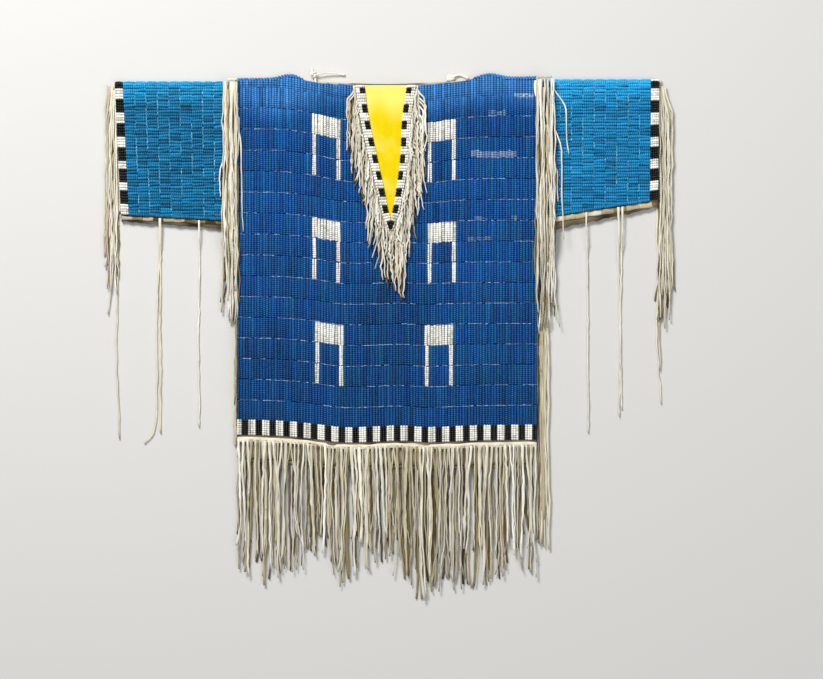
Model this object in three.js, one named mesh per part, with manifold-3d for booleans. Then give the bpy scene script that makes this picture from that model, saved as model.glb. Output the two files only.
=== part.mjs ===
// A small child's hide shirt, beaded all over in lanes and fringed, laid flat with its front up.
//
// The shirt is cut and sewn from tanned hide. A front and a back panel meet at the shoulders. Each sleeve
// is one piece, folded along its top edge and open below, where long thongs tie it. The beads are sewn in
// lanes that stand up as rounded ribs: level lanes on the body, upright ones on the sleeves. A pointed bib
// hangs from the neck. Bands of black and white beads edge the bib, the cuffs and the hem, and cut hide
// fringe hangs from the armholes, cuffs, bib and hem.
//
// Units are millimetres. +X runs to the right as the front is looked at, +Y towards the shoulders and +Z
// up from the surface that the shirt lies on. Sizes are worked out from the middle of the body's shoulder
// line, and the whole is then moved so that its box is centred over the origin.
import * as THREE from "three";
import { mergeVertices } from "three/addons/utils/BufferGeometryUtils.js";
import Module from "manifold-3d";

const wasm = await Module();
wasm.setup();

// Driving dimensions
const BODY_HALF = 120;
const LANE_PITCH = 16.8;
const LANE_COUNT = 16;
const LANE_TOP = -1.6;
const HEM_DEPTH = 16.2;
const BACK_EXTRA = 14;
const SLEEVE_LANE_PITCH = 9.1;
const SLEEVE_LANES = 10;
const CUFF_BAND = 6.6;
const BAND_EDGE = 0.4;
const BAND_RISE = 1.5;
const BIB_BAND = 7;
const HIDE = 1.5;
const BEAD_CREST = 2.0;
const BEAD_VALLEY = 0.7;
const BACK_WALL = 3.0;
const GAP = 0.3;
const SPARE = 0.15;
const STRIP_WIDTH = 3;
const STRIP_THICK = 1.2;
const STRAND_WIDTH = 2;
const STRAND_THICK = 1;
const THONG_WIDTH = 2.2;
const THONG_BEND = 1.6;
const TAPER = 0.6;
const FLOOR_CLEAR = 0.4;

// How strands leave their strip: how far inside it they start, how far down they run before they hang
// straight, how far they take to sink to rest, and the steps from one root to the next.
const ROOT_LIFT = 0.1;
const ROOT_INSET = 1.5;
const ROOT_RUN = 13;
const SINK = 24;
const ROOT_STEPS = { layer: 20, lowest: 9, upper: 3 };
const HEM_SWAY = 1.3;

// Worked out from them
const FRONT_INSIDE = BACK_WALL + GAP;
const OVER_BEADS = HIDE + BEAD_CREST + GAP + SPARE;
const FOLD_INSIDE = GAP / 2;
const FOLD_CENTRE = BACK_WALL + FOLD_INSIDE;
const SLEEVE_START = BODY_HALF + GAP;
const CUFF_START = SLEEVE_START + SLEEVE_LANES * SLEEVE_LANE_PITCH;
const SLEEVE_END = CUFF_START + CUFF_BAND;
const LAYER = STRAND_THICK + GAP;
const SHOULDER_ROLL = 1.5;

// The profile across one lane of beads: how far along the lane's width, and the share of the full rise.
const RIB = [
  { along: 0, rise: 0 },
  { along: 0.16, rise: 0.78 },
  { along: 0.5, rise: 1 },
  { along: 0.84, rise: 0.78 },
  { along: 1, rise: 0 },
];

// How far the body's lanes sag below level across the front, at the first, the middle and the last lane.
const SAG = [
  { at: -120, first: 2.6, middle: 2.4, last: 0.3 },
  { at: -85, first: 3, middle: 3, last: 1.4 },
  { at: -60, first: 6.5, middle: 5, last: 3.6 },
  { at: -37, first: 11.5, middle: 8.5, last: 6.4 },
  { at: -10, first: 14, middle: 8.5, last: 6 },
  { at: 10, first: 14.5, middle: 8, last: 5.2 },
  { at: 33, first: 14, middle: 9, last: 6.4 },
  { at: 56, first: 11, middle: 8, last: 5.6 },
  { at: 80, first: 9.2, middle: 8, last: 4.8 },
  { at: 120, first: 9, middle: 8, last: 4.4 },
];

// The front's top edge: its height, and how far it rolls over the shoulder. It is open at the neck.
const TOP_EDGE = [
  { at: -120, height: 0, roll: 1 },
  { at: -92, height: 0.6, roll: 1 },
  { at: -77, height: 3.4, roll: 0.8 },
  { at: -62, height: -0.4, roll: 0.2 },
  { at: -28, height: -2.6, roll: 0.06 },
  { at: 0, height: -3.2, roll: 0.06 },
  { at: 28, height: -2.4, roll: 0.06 },
  { at: 62, height: 0.2, roll: 0.2 },
  { at: 82, height: 4, roll: 0.8 },
  { at: 98, height: 1.4, roll: 1 },
  { at: 120, height: 1.6, roll: 1 },
];

// The soft swell of the front as it lies, and the shallow troughs between its folds.
const SWELL = 2.2;
const RIPPLE = 0.28;
const TROUGH_END = 23;
const TROUGHS = [
  { at: -84, width: 12, top: -118, low: -232, depth: 0.6 },
  { at: -66, width: 10, top: -6, low: -96, depth: 0.9 },
  { at: 4, width: 14, top: -176, low: -292, depth: 1 },
  { at: 62, width: 10, top: -20, low: -120, depth: 0.7 },
  { at: 82, width: 14, top: -190, low: -286, depth: 0.7 },
];
const SLEEVE_PUFF = 1.3;

// The lowest reach of the hem fringe.
const HEM_REACH = [
  { at: -120, low: -392 },
  { at: -95, low: -405 },
  { at: -82, low: -396 },
  { at: -66, low: -391 },
  { at: -51, low: -377 },
  { at: -38, low: -404 },
  { at: -23, low: -391 },
  { at: -4, low: -393 },
  { at: 14, low: -400 },
  { at: 26, low: -415 },
  { at: 40, low: -408 },
  { at: 68, low: -406 },
  { at: 84, low: -401 },
  { at: 100, low: -391 },
  { at: 116, low: -398 },
];

// The two rows of hem fringe: their strands' pitch, number and width, where they rest, how far they run
// level first, and how much shorter than the reach the shortest are.
const HEM_FRINGE = {
  front: { pitch: 4, count: 60, width: 2.5, rest: 1.9, level: 18, shortest: 20, kind: 11 },
  back: { pitch: 4.4, count: 54, width: 2.8, rest: FLOOR_CLEAR, level: 0, shortest: 34, kind: 23 },
};

// The bib's outer edges, by height.
const BIB_EDGES = [
  { at: -121, left: 2.6, right: 3.2 },
  { at: -108, left: -2.9, right: 8.6 },
  { at: -90, left: -7.1, right: 12.6 },
  { at: -60, left: -14.6, right: 17.4 },
  { at: -30, left: -21.2, right: 19.2 },
  { at: -2, left: -25.4, right: 23.4 },
];
const BIB_TIP = BIB_EDGES[0].at;
const BIB_TOP = -3;
const BIB_FRINGE = { left: [-29, 0], right: [33, 8], count: 17, length: 49 };

// Each sleeve: the slant of its cuff, and where its lower edges lie at the body and at the cuff.
const SLEEVES = {
  left: { side: -1, top: 0.6, slant: 5, frontBody: -111, frontCuff: -106, backBody: -118, backCuff: -111.5 },
  right: { side: 1, top: 2.4, slant: 1, frontBody: -109, frontCuff: -94, backBody: -121, backCuff: -100 },
};

// The long thongs that tie each sleeve's edges: how far out they hang, and how low.
const THONGS = {
  left: [
    { out: 151, low: -276 },
    { out: 181.6, low: -288 },
    { out: 184.6, low: -291 },
  ],
  right: [
    { out: 161, low: -282 },
    { out: 186, low: -269 },
    { out: 189, low: -262 },
  ],
};

// The fringe of the armholes and the cuffs: its strip, the lines that its strands hang in, and its reach.
const ARMHOLE = 120.4;
const ARMHOLE_BOTTOM = -104;
const ARMHOLE_COLUMNS = [118.3, 121.8, 124.4, 127, 129.6, 132.2];
const ARMHOLE_FRINGE = {
  left: { side: -1, top: 2.5, low: -200, longest: -258, rest: FLOOR_CLEAR },
  right: { side: 1, top: 4.5, low: -200, longest: -214, rest: 1.9 },
};
const CUFF_FRINGE = {
  left: { side: -1, columns: 3, top: -2.5, bottom: -104, low: -174, longest: -286 },
  right: { side: 1, columns: 5, top: 0, bottom: -92, low: -198, longest: -258 },
};

// The cut edges of hide that show beside the body: from the body's side out, and their heights.
const SIDE_STRIPS = {
  left: { side: -1, width: 2.6, top: -214, low: -286 },
  right: { side: 1, width: 8.6, top: -142, low: -368 },
};

// The shoulder ties beside the neck.
const TIES = {
  left: { x: -60, y: 3.9, stub: 11, tail: -33.6 },
  right: { from: 50, to: 65, y: 3.1, rise: 3 },
};

// Materials, in the colours of dyed hide and glass beads
const FINISH = {
  body_beads: { color: "#1d5296", roughness: 0.35 },
  sleeve_beads: { color: "#2080b4", roughness: 0.35 },
  band_beads: { color: "#d9d6cc", roughness: 0.35 },
  yellow_hide: { color: "#efdc2a", roughness: 0.85 },
  hide: { color: "#b8a888", roughness: 0.9 },
  fringe: { color: "#d6ccb4", roughness: 0.9 },
};

const { clamp, lerp, smoothstep } = THREE.MathUtils;

// A named column of a table, along a smooth curve through its rows.
function along(table, place, column) {
  const last = table.length - 1;
  const i = clamp(table.findIndex((row) => row.at > place) - 1, 0, last - 1);
  const [a, b] = place >= table[last].at ? [table[last - 1], table[last]] : [table[i], table[i + 1]];
  const first = table.indexOf(a);
  const slope = (j) => {
    const [before, after] = [table[Math.max(j - 1, 0)], table[Math.min(j + 1, last)]];
    return (after[column] - before[column]) / (after.at - before.at);
  };
  const width = b.at - a.at;
  const t = clamp((place - a.at) / width, 0, 1);
  const rest = 1 - t;
  return (
    a[column] * (1 + 2 * t) * rest * rest +
    slope(first) * width * t * rest * rest +
    b[column] * (1 + 2 * rest) * t * t -
    slope(first + 1) * width * rest * t * t
  );
}

// A steady value from 0 to 1 that varies from one piece to the next.
function vary(index, kind) {
  const wave = Math.sin(index * 12.9898 + kind * 78.233) * 43758.5453;
  return wave - Math.floor(wave);
}

// Evenly spaced numbers from first to last.
function steps(first, last, count) {
  return Array.from({ length: count + 1 }, (_, i) => lerp(first, last, i / count));
}

function geometryOf(points, faces) {
  const geometry = new THREE.BufferGeometry();
  geometry.setAttribute("position", new THREE.Float32BufferAttribute(points, 3));
  geometry.setIndex(faces);
  return geometry;
}

// Grows triangles between two chains of point numbers, each with its own places along the same edge.
function stitch(faces, outer, inner) {
  let i = 0;
  let j = 0;
  while (i < outer.length - 1 || j < inner.length - 1) {
    if (j === inner.length - 1 || (i < outer.length - 1 && outer[i + 1].place <= inner[j + 1].place)) {
      faces.push(outer[i + 1].number, outer[i].number, inner[j].number);
      i += 1;
    } else {
      faces.push(inner[j].number, inner[j + 1].number, outer[i].number);
      j += 1;
    }
  }
}

// A closed wall between an outer and an inner grid. A grid has places u and v, and at(u, v) is its point.
function wall(outer, inner) {
  const points = [];
  const faces = [];
  const skins = [outer, inner].map(({ u, v, at }) => {
    const first = points.length / 3;
    for (const across of u) for (const up of v) points.push(...at(across, up));
    const number = (i, j) => first + i * v.length + j;
    return { u, v, number };
  });
  skins.forEach(({ u, v, number }, under) => {
    for (let i = 0; i < u.length - 1; i += 1) {
      for (let j = 0; j < v.length - 1; j += 1) {
        const [a, b, c, d] = [number(i, j), number(i + 1, j), number(i + 1, j + 1), number(i, j + 1)];
        faces.push(...(under ? [a, c, b, a, d, c] : [a, b, c, a, c, d]));
      }
    }
  });
  const edges = [
    ({ u, number }) => u.map((place, i) => ({ place, number: number(i, 0) })),
    ({ u, v, number }) => v.map((place, j) => ({ place, number: number(u.length - 1, j) })),
    ({ u, v, number }) => u.map((place, i) => ({ place: -place, number: number(i, v.length - 1) })).reverse(),
    ({ v, number }) => v.map((place, j) => ({ place: -place, number: number(0, j) })).reverse(),
  ];
  for (const edge of edges) stitch(faces, edge(skins[0]), edge(skins[1]));
  return geometryOf(points, faces);
}

// A closed tube through rings that all have the same number of corners, with flat ends.
function sweep(rings) {
  const corners = rings[0].length;
  const faces = [];
  for (let i = 0; i < rings.length - 1; i += 1) {
    for (let k = 0; k < corners; k += 1) {
      const [a, b] = [i * corners + k, i * corners + ((k + 1) % corners)];
      faces.push(a, b, b + corners, a, b + corners, a + corners);
    }
  }
  const end = (rings.length - 1) * corners;
  for (let k = 1; k < corners - 1; k += 1) faces.push(0, k + 1, k, end, end + k, end + k + 1);
  return geometryOf(rings.flat(2), faces);
}

// The geometry as a solid that can be joined to others, turned so that its faces point outwards.
function solidOf(geometry) {
  const numbers = [...geometry.index.array];
  const solid = (order) =>
    new wasm.Manifold(
      new wasm.Mesh({
        numProp: 3,
        vertProperties: new Float32Array(geometry.attributes.position.array),
        triVerts: new Uint32Array(order),
      }),
    );
  const turned = [...numbers].reverse();
  const first = solid(numbers);
  return first.volume() > 0 ? first : solid(turned);
}

// Several geometries joined into one.
function joined(geometries) {
  const mesh = geometries
    .map(solidOf)
    .reduce((whole, solid) => whole.add(solid))
    .getMesh();
  return geometryOf([...mesh.vertProperties], [...mesh.triVerts]);
}

// A flat strip of hide through its stations, each with a place and a width. Its width runs along x or y.
function strand(stations, thick = STRAND_THICK, [alongX, alongY] = [1, 0]) {
  return sweep(
    stations.map(({ x, y, z, width }) => {
      const [dx, dy] = [(alongX * width) / 2, (alongY * width) / 2];
      return [
        [x - dx, y - dy, z],
        [x + dx, y + dy, z],
        [x + dx, y + dy, z + thick],
        [x - dx, y - dy, z + thick],
      ];
    }),
  );
}

const shirt = new THREE.Group();

function piece(name, finish, geometry) {
  const mesh = new THREE.Mesh(geometry, new THREE.MeshStandardMaterial({ metalness: 0, ...FINISH[finish] }));
  mesh.name = name;
  shirt.add(mesh);
}

// How far the front stands above flat: a soft swell, broken by a few shallow upright troughs.
function swell(x, y) {
  const across = clamp(1 - (x / BODY_HALF) ** 2, 0, 1) ** 0.6;
  const down = smoothstep(-y, 2, 34) * lerp(1, 0.35, smoothstep(-y, 200, 290));
  const trough = ({ at, width, top, low, depth }) => {
    const ends = smoothstep(top - y, 0, TROUGH_END) * smoothstep(y - low, 0, TROUGH_END);
    return depth * Math.exp(-(((x - at) / width) ** 2)) * ends;
  };
  const troughs = TROUGHS.reduce((sum, row) => sum + trough(row), 0);
  const ripple = RIPPLE * Math.sin(x / 17 + y / 60) * Math.cos(y / 31);
  return Math.max(0, across * down * (SWELL + ripple - troughs));
}

// The height of lane line k on the body at x. Line 0 is the top edge. The hide's hem is a line past the last.
function laneLine(x, k) {
  const below = (line) => {
    const halves = (2 * (line - 1)) / (LANE_COUNT - 1);
    const [a, b, share] = halves < 1 ? ["first", "middle", halves] : ["middle", "last", halves - 1];
    return LANE_TOP - line * LANE_PITCH - lerp(along(SAG, x, a), along(SAG, x, b), share);
  };
  if (k < 1) return lerp(along(TOP_EDGE, x, "height"), below(1), k);
  return k <= LANE_COUNT ? below(k) : below(LANE_COUNT) - HEM_DEPTH * (k - LANE_COUNT);
}

const hemLine = (x) => laneLine(x, LANE_COUNT + 1);
const backHem = (x) => hemLine(x) - BACK_EXTRA;

// The height above the table of the inside of the front, and of what lies on its beads.
const frontInside = (x, y) => FRONT_INSIDE + swell(x, y);
const onBeads = (x, y) => frontInside(x, y) + OVER_BEADS;

// The share of the full rise at a place across a lane.
function ribRise(share) {
  const next = RIB.findIndex((row) => row.along > share + 1e-6);
  const [a, b] = RIB.slice(next < 0 ? -2 : next - 1);
  return lerp(a.rise, b.rise, (share - a.along) / (b.along - a.along));
}

const beadRise = (lane) => lerp(BEAD_VALLEY, BEAD_CREST, ribRise(lane - Math.floor(lane + 1e-6)));
const bandRise = (share) => lerp(BEAD_VALLEY, BAND_RISE, ribRise(share));
const ribPlaces = RIB.map((row) => row.along);

// The front panel. Along v, its lanes lie at minus their line and the roll over the shoulder from 0 to 1.
function frontPanel() {
  const point = (x, v, thick) => {
    if (v <= 0) {
      const y = laneLine(x, -v);
      return [x, y, frontInside(x, y) + thick];
    }
    const turn = v * along(TOP_EDGE, x, "roll") * (Math.PI / 2);
    const edge = laneLine(x, 0);
    const radius = SHOULDER_ROLL + thick;
    const centre = frontInside(x, edge) - SHOULDER_ROLL;
    return [x, edge + radius * Math.sin(turn), centre + radius * Math.cos(turn)];
  };
  const rise = (v) => {
    if (v > 0) return BEAD_VALLEY;
    return -v >= LANE_COUNT ? 0 : beadRise(-v);
  };
  const ribs = steps(-(LANE_COUNT - 1), 0, LANE_COUNT - 1).flatMap((lane) =>
    RIB.slice(0, -1).reverse().map((row) => lane - row.along),
  );
  const hem = [-(LANE_COUNT + 1), -(LANE_COUNT + 0.02)];
  const roll = [0.35, 0.7, 1];
  const across = steps(-BODY_HALF, BODY_HALF, 16);
  return wall(
    { u: across, v: [...hem, ...ribs, ...roll], at: (x, v) => point(x, v, HIDE + rise(v)) },
    { u: across, v: [hem[0], ...steps(-LANE_COUNT, 0, LANE_COUNT), ...roll], at: (x, v) => point(x, v, 0) },
  );
}

// The band of beads along the front's hem.
function hemBand() {
  const share = (v) => (v * (HEM_DEPTH - 2 * STRIP_WIDTH + BAND_EDGE) + BAND_EDGE) / HEM_DEPTH;
  const point = (x, v, thick) => {
    const y = laneLine(x, LANE_COUNT + share(v));
    return [x, y, frontInside(x, y) + HIDE + GAP + SPARE + thick];
  };
  const across = steps(-BODY_HALF + BAND_EDGE, BODY_HALF - BAND_EDGE, 20);
  const up = [...ribPlaces].reverse().map((place) => -place);
  return wall(
    { u: across, v: up, at: (x, v) => point(x, -v, bandRise(-v)) },
    { u: across, v: [-1, 0], at: (x, v) => point(x, -v, 0) },
  );
}

// The back panel lies under the front, reaches a little lower and stands a little higher at the neck.
function backPanel() {
  const top = (x) => along(TOP_EDGE, x, "height") - GAP + 2.6 * (1 - along(TOP_EDGE, x, "roll")) ** 3;
  const skin = (z) => ({
    u: steps(-BODY_HALF, BODY_HALF, 20),
    v: [0, 1],
    at: (x, v) => [x, lerp(backHem(x), top(x), v), z],
  });
  return wall(skin(BACK_WALL), skin(0));
}

// How far out along a sleeve a place is, and where the front's lower edge lies there.
const outwards = (x) => clamp((Math.abs(x) - SLEEVE_START) / (SLEEVE_END - SLEEVE_START), 0, 1);
const frontEdge = ({ frontBody, frontCuff }, x) => lerp(frontBody, frontCuff, outwards(x));

// A point of a folded sleeve, from 0 to 1 up its front, on to 2 over the fold and on to 3 down its back.
function sleevePoint(cut, x, v, thick, under) {
  const { side, top, slant, backBody, backCuff } = cut;
  const out = outwards(x);
  const fold = top - (FOLD_INSIDE + HIDE + BEAD_CREST);
  const front = frontEdge(cut, x);
  const back = lerp(backBody, backCuff, out);
  const puffed = smoothstep(out, 0.13, 0.45) * smoothstep(1 - out, 0, 0.3);
  const puff = SLEEVE_PUFF * puffed * Math.sin(Math.PI * Math.min(v, 1));
  const placed = (y, z) => [x - side * slant * out * clamp(y / front, 0, 1.1), y, z];
  if (v <= 1) return placed(lerp(front, fold, v), FRONT_INSIDE + puff + thick);
  if (v >= 2) return placed(lerp(fold, back, v - 2), under);
  const turn = (v - 1) * Math.PI;
  const radius = FOLD_INSIDE + lerp(thick, BACK_WALL - under, v - 1);
  return placed(fold + radius * Math.sin(turn), FOLD_CENTRE + radius * Math.cos(turn));
}

const ordered = (side, places) => (side > 0 ? places : places.map((x) => -x).reverse());

// One sleeve: a wall folded along its top edge, with its lanes of beads standing upright.
function sleeve(cut) {
  const rise = (x) => {
    const lane = (Math.abs(x) - SLEEVE_START) / SLEEVE_LANE_PITCH;
    return lane > SLEEVE_LANES - 1e-6 ? 0 : beadRise(lane);
  };
  const lanes = steps(0, SLEEVE_LANES - 1, SLEEVE_LANES - 1).flatMap((lane) =>
    RIB.slice(0, -1).map((row) => SLEEVE_START + (lane + row.along) * SLEEVE_LANE_PITCH),
  );
  const up = [0, 0.2, 0.45, 0.7, 0.9, 1, 1.25, 1.5, 1.75, 2, 3];
  return wall(
    {
      u: ordered(cut.side, [...lanes, CUFF_START, SLEEVE_END]),
      v: up,
      at: (x, v) => sleevePoint(cut, x, v, HIDE + rise(x), 0),
    },
    {
      u: ordered(cut.side, steps(SLEEVE_START, SLEEVE_END, 6)),
      v: [0, 0.45, 0.9, 1, 1.25, 1.5, 1.75, 2, 3],
      at: (x, v) => sleevePoint(cut, x, v, 0, BACK_WALL),
    },
  );
}

// The band of beads round the front of a cuff, up to the fold.
function cuffBand(cut) {
  const width = CUFF_BAND - 2 * BAND_EDGE;
  const place = (share) => CUFF_START + BAND_EDGE + share * width;
  const rise = (x) => bandRise((Math.abs(x) - place(0)) / width);
  const up = [0.01, 0.2, 0.45, 0.7, 0.9, 1, 1.2];
  const under = HIDE + GAP;
  return wall(
    {
      u: ordered(cut.side, ribPlaces.map(place)),
      v: up,
      at: (x, v) => sleevePoint(cut, x, v, under + rise(x), 0),
    },
    { u: ordered(cut.side, [place(0), place(1)]), v: up, at: (x, v) => sleevePoint(cut, x, v, under, 0) },
  );
}

// A strip of hide that hangs below a line, at a height above the table.
function edging(places, line, lift) {
  return strand(
    places.map((x) => ({ x, y: line(x) - GAP - STRIP_WIDTH / 2, z: lift, width: STRIP_WIDTH })),
    STRIP_THICK,
    [0, 1],
  );
}

// The cut edge of hide below a sleeve's beads, with the thongs that hang from it.
function sleeveEdge(cut, thongs) {
  const low = (x) => frontEdge(cut, x);
  const places = ordered(cut.side, steps(SLEEVE_START + GAP, CUFF_START, 6));
  const edge = edging(places, low, FRONT_INSIDE);
  const hung = thongs.map(({ out, low: end }, i) => {
    const x = cut.side * out;
    const bend = (share) => x + THONG_BEND * (Math.sin(3 * share + i) - Math.sin(i));
    const below = (share, z, width) => ({ x: bend(share), y: lerp(cut.backBody, end, share), z, width });
    return strand([
      { x, y: low(x) - 1, z: FRONT_INSIDE + ROOT_LIFT, width: THONG_WIDTH },
      { x, y: cut.backBody - 3, z: FRONT_INSIDE + ROOT_LIFT, width: THONG_WIDTH },
      below(0.1, FLOOR_CLEAR, THONG_WIDTH),
      below(0.35, FLOOR_CLEAR, THONG_WIDTH),
      below(0.72, FLOOR_CLEAR, THONG_WIDTH),
      below(1, FLOOR_CLEAR, THONG_WIDTH * TAPER),
    ]);
  });
  return joined([edge, ...hung]);
}

// Fringe along a hem: a strip that follows the hem line, with strands at an even pitch below it. The
// strands first run level over what lies below the line, then sink to rest.
function hemFringe({ line, lift, pitch, count, width, rest, level, shortest, kind }) {
  const strip = edging(steps(-BODY_HALF + GAP, BODY_HALF - GAP, 20), line, lift);
  const strands = steps(0, count - 1, count - 1).map((i) => {
    const start = (i - (count - 1) / 2) * pitch;
    const low = along(HEM_REACH, start, "low") + shortest * vary(i, kind) ** 1.5;
    const root = line(start) - STRIP_WIDTH;
    const own = vary(i, kind + 1) - 0.5;
    const wide = width * (0.85 + 0.25 * vary(i, kind + 2));
    const at = (y, z, share = 1) => {
      const sway = HEM_SWAY * Math.sin(start / 19 + y / 33) + own / 2;
      return { x: start + sway * smoothstep(root - y, 0, 30), y, z, width: wide * share };
    };
    const upper = level > 0 ? [at(root - level, lift + ROOT_LIFT)] : [];
    const lower = level > 0 ? [] : [at(lerp(root, low, 0.68), rest)];
    const [first, sunk, last] = [at(root, lift + ROOT_LIFT), at(root - level - SINK, rest), at(low, rest, TAPER)];
    return strand([first, ...upper, sunk, ...lower, last]);
  });
  return joined([strip, ...strands]);
}

// Fringe from an upright strip. Strands leave its outer side, the outermost from the highest place, and lie
// over each other in layers. Those that clear the cloth sink to rest beside it.
function bunch({ side, strip, columns, layers, low, longest, lift, rest, sinkFrom }) {
  const down = (y) => clamp((strip.top - y) / (strip.top - strip.bottom), 0, 1);
  const stripOut = (y) => lerp(strip.x, strip.lowX, down(y));
  const stripX = (y) => side * stripOut(y);
  const sunk = (y) => lerp(lift, rest, smoothstep(sinkFrom - y, 0, SINK));
  const height = (column, y) => (column < strip.x ? lift : sunk(y));
  const strands = [];
  for (let layer = 0; layer < layers; layer += 1) {
    columns.forEach((column, c) => {
      const inner = columns.length - 1 - c;
      const overStrip = layer === 0 && column < strip.x + STRIP_WIDTH;
      const step = layer ? ROOT_STEPS.upper : ROOT_STEPS.lowest;
      const stepped = (layers - 1 - layer) * ROOT_STEPS.layer + inner * step;
      const root = overStrip ? strip.bottom + ROOT_INSET : strip.top - ROOT_INSET - stepped;
      const seed = layer * 10 + c;
      const ragged = low + 26 * vary(seed, side + 3) ** 1.4 - 8 * vary(seed, side + 5);
      const last = overStrip && c === 0 ? longest : ragged;
      const sway = (y) => 0.5 * Math.sin(y / 23 + column / 9) * smoothstep(root - y, 10, 60);
      const follows = column - strip.lowX < GAP;
      const at = (y, share = 1) => ({
        x: side * (follows ? Math.max(column, stripOut(y)) : column + sway(y)),
        y,
        z: height(column, y) + layer * LAYER + ROOT_LIFT,
        width: STRAND_WIDTH * share,
      });
      const first = { x: stripX(root), y: root, z: lift + ROOT_LIFT, width: STRAND_WIDTH };
      const middle = rest < lift ? [at(sinkFrom), at(sinkFrom - SINK)] : [at(lerp(root, last, 0.5))];
      strands.push(strand([first, at(root - ROOT_RUN), ...middle, at(last, TAPER)]));
    });
  }
  const backing = strand(
    [strip.top, strip.bottom].map((y) => ({ x: stripX(y), y, z: lift, width: strip.width })),
    STRIP_THICK,
  );
  return joined([backing, ...strands]);
}

function armholeFringe({ side, top, low, longest, rest }) {
  return bunch({
    side,
    strip: { x: ARMHOLE, lowX: ARMHOLE, top, bottom: ARMHOLE_BOTTOM, width: STRIP_WIDTH },
    columns: ARMHOLE_COLUMNS,
    layers: 3,
    low,
    longest,
    lift: FRONT_INSIDE + OVER_BEADS,
    rest,
    sinkFrom: SLEEVES.right.backBody - STRIP_WIDTH,
  });
}

function cuffFringe({ side, columns, top, bottom, low, longest }, { slant }) {
  const width = STRAND_WIDTH;
  const x = SLEEVE_END + GAP + width / 2;
  return bunch({
    side,
    strip: { x, lowX: x - slant, top, bottom, width },
    columns: [x - slant, ...steps(1, columns, columns - 1).map((c) => x + c * (width + GAP + SPARE))],
    layers: 4,
    low,
    longest,
    lift: FLOOR_CLEAR,
    rest: FLOOR_CLEAR,
    sinkFrom: bottom,
  });
}

// The pointed bib, its band of beads and its fringe. They lie on the beads of the front.
const BIB_ROWS = steps(BIB_TIP, BIB_TOP, 12);

function bib() {
  const skin = (thick) => ({
    u: steps(0, 1, 4),
    v: BIB_ROWS,
    at: (share, y) => {
      const x = lerp(along(BIB_EDGES, y, "left"), along(BIB_EDGES, y, "right"), share);
      return [x, y, onBeads(x, y) + thick];
    },
  });
  return wall(skin(HIDE), skin(0));
}

function bibBand() {
  const merge = BIB_TIP + 18;
  const middle = (BIB_EDGES[0].left + BIB_EDGES[0].right) / 2;
  const down = steps(BIB_TOP - BAND_EDGE, BIB_TIP + 5, 13);
  const up = [...down].reverse();
  const places = [...down.map((y) => ["left", y]), ["tip", BIB_TIP + 1], ...up.map((y) => ["right", y])];
  const point = ([edge, y], share, thick) => {
    const inwards = edge === "left" ? 1 : -1;
    const rim = edge === "tip" ? middle : along(BIB_EDGES, y, edge) + inwards * BAND_EDGE;
    const full = rim + inwards * BIB_BAND;
    const short = middle - inwards * 0.25;
    const deep = edge === "tip" ? middle : inwards * Math.min(inwards * full, inwards * short);
    const inner = Math.max(y, edge === "tip" ? merge - 0.6 : merge);
    const [x, height] = [lerp(rim, deep, share), lerp(y, inner, share)];
    return [x, height, onBeads(x, height) + HIDE + GAP + SPARE + thick];
  };
  const u = steps(0, places.length - 1, places.length - 1);
  return wall(
    { u, v: ribPlaces, at: (i, share) => point(places[i], share, bandRise(share)) },
    { u, v: [0, 1], at: (i, share) => point(places[i], share, 0) },
  );
}

function bibFringe() {
  const offset = GAP + STRAND_WIDTH / 2;
  const middle = (BIB_EDGES[0].left + BIB_EDGES[0].right) / 2;
  const sides = [["left", -1], ["right", 1]];
  const rim = (edge, side, y) => along(BIB_EDGES, y, edge) + side * offset;
  const on = (x, y, layer, width) => ({ x, y, z: onBeads(x, y) + layer * LAYER, width });
  const strips = sides.map(([edge, side]) =>
    strand(
      [
        ...[...BIB_ROWS].reverse().map((y) => on(rim(edge, side, y), y, 0, STRAND_WIDTH)),
        on(middle, BIB_TIP - 3.4, 0, STRAND_WIDTH),
      ],
      STRIP_THICK,
    ),
  );
  const strands = sides.flatMap(([edge, side]) =>
    steps(0, BIB_FRINGE.count - 1, BIB_FRINGE.count - 1).map((i) => {
      const share = i / (BIB_FRINGE.count - 1);
      const root = lerp(BIB_TOP - 2, BIB_TIP + 3, share);
      const column = lerp(...BIB_FRINGE[edge], share);
      const layer = i % 2;
      const end = root - BIB_FRINGE.length - 7 * (vary(i, side + 7) - 0.5) - (side > 0 ? 3 : 0);
      return strand([
        on(rim(edge, side, root), root, 0, STRAND_WIDTH),
        on(lerp(rim(edge, side, root), column, 0.8), root - 9, layer, STRAND_WIDTH),
        on(column, lerp(root, end, 0.6), layer, STRAND_WIDTH),
        on(column + 0.6 * side, end, layer, STRAND_WIDTH * TAPER),
      ]);
    }),
  );
  const tip = [-2.2, 0, 2.2].map((out, i) => {
    const x = 1.4 * out + 4;
    const root = BIB_TIP - 2.6;
    return strand([
      on(middle + out * 0.2, root, 0, STRAND_WIDTH),
      on(x, root - 10, 1 - (i % 2), STRAND_WIDTH),
      on(x + 1, root - 28, 1 - (i % 2), STRAND_WIDTH),
      on(x + 3, root - BIB_FRINGE.length + 2 - 2 * i, 1 - (i % 2), STRAND_WIDTH * TAPER),
    ]);
  });
  return joined([...strips, ...strands, ...tip]);
}

// A strip of the side seam's hide, lying flat beside the body and ragged at its lower end.
function sideStrip({ side, width, top, low }) {
  const rings = [
    { down: 0, share: 0.45 },
    { down: 0.12, share: 1 },
    { down: 0.55, share: 0.9 },
    { down: 0.86, share: 1 },
    { down: 1, share: 0.5 },
  ];
  const at = ({ down, share }) => {
    const wide = width * share;
    return { x: side * (SLEEVE_START + wide / 2), y: lerp(top, low, down), z: 0, width: wide };
  };
  return strand(rings.map(at), HIDE);
}

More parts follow.
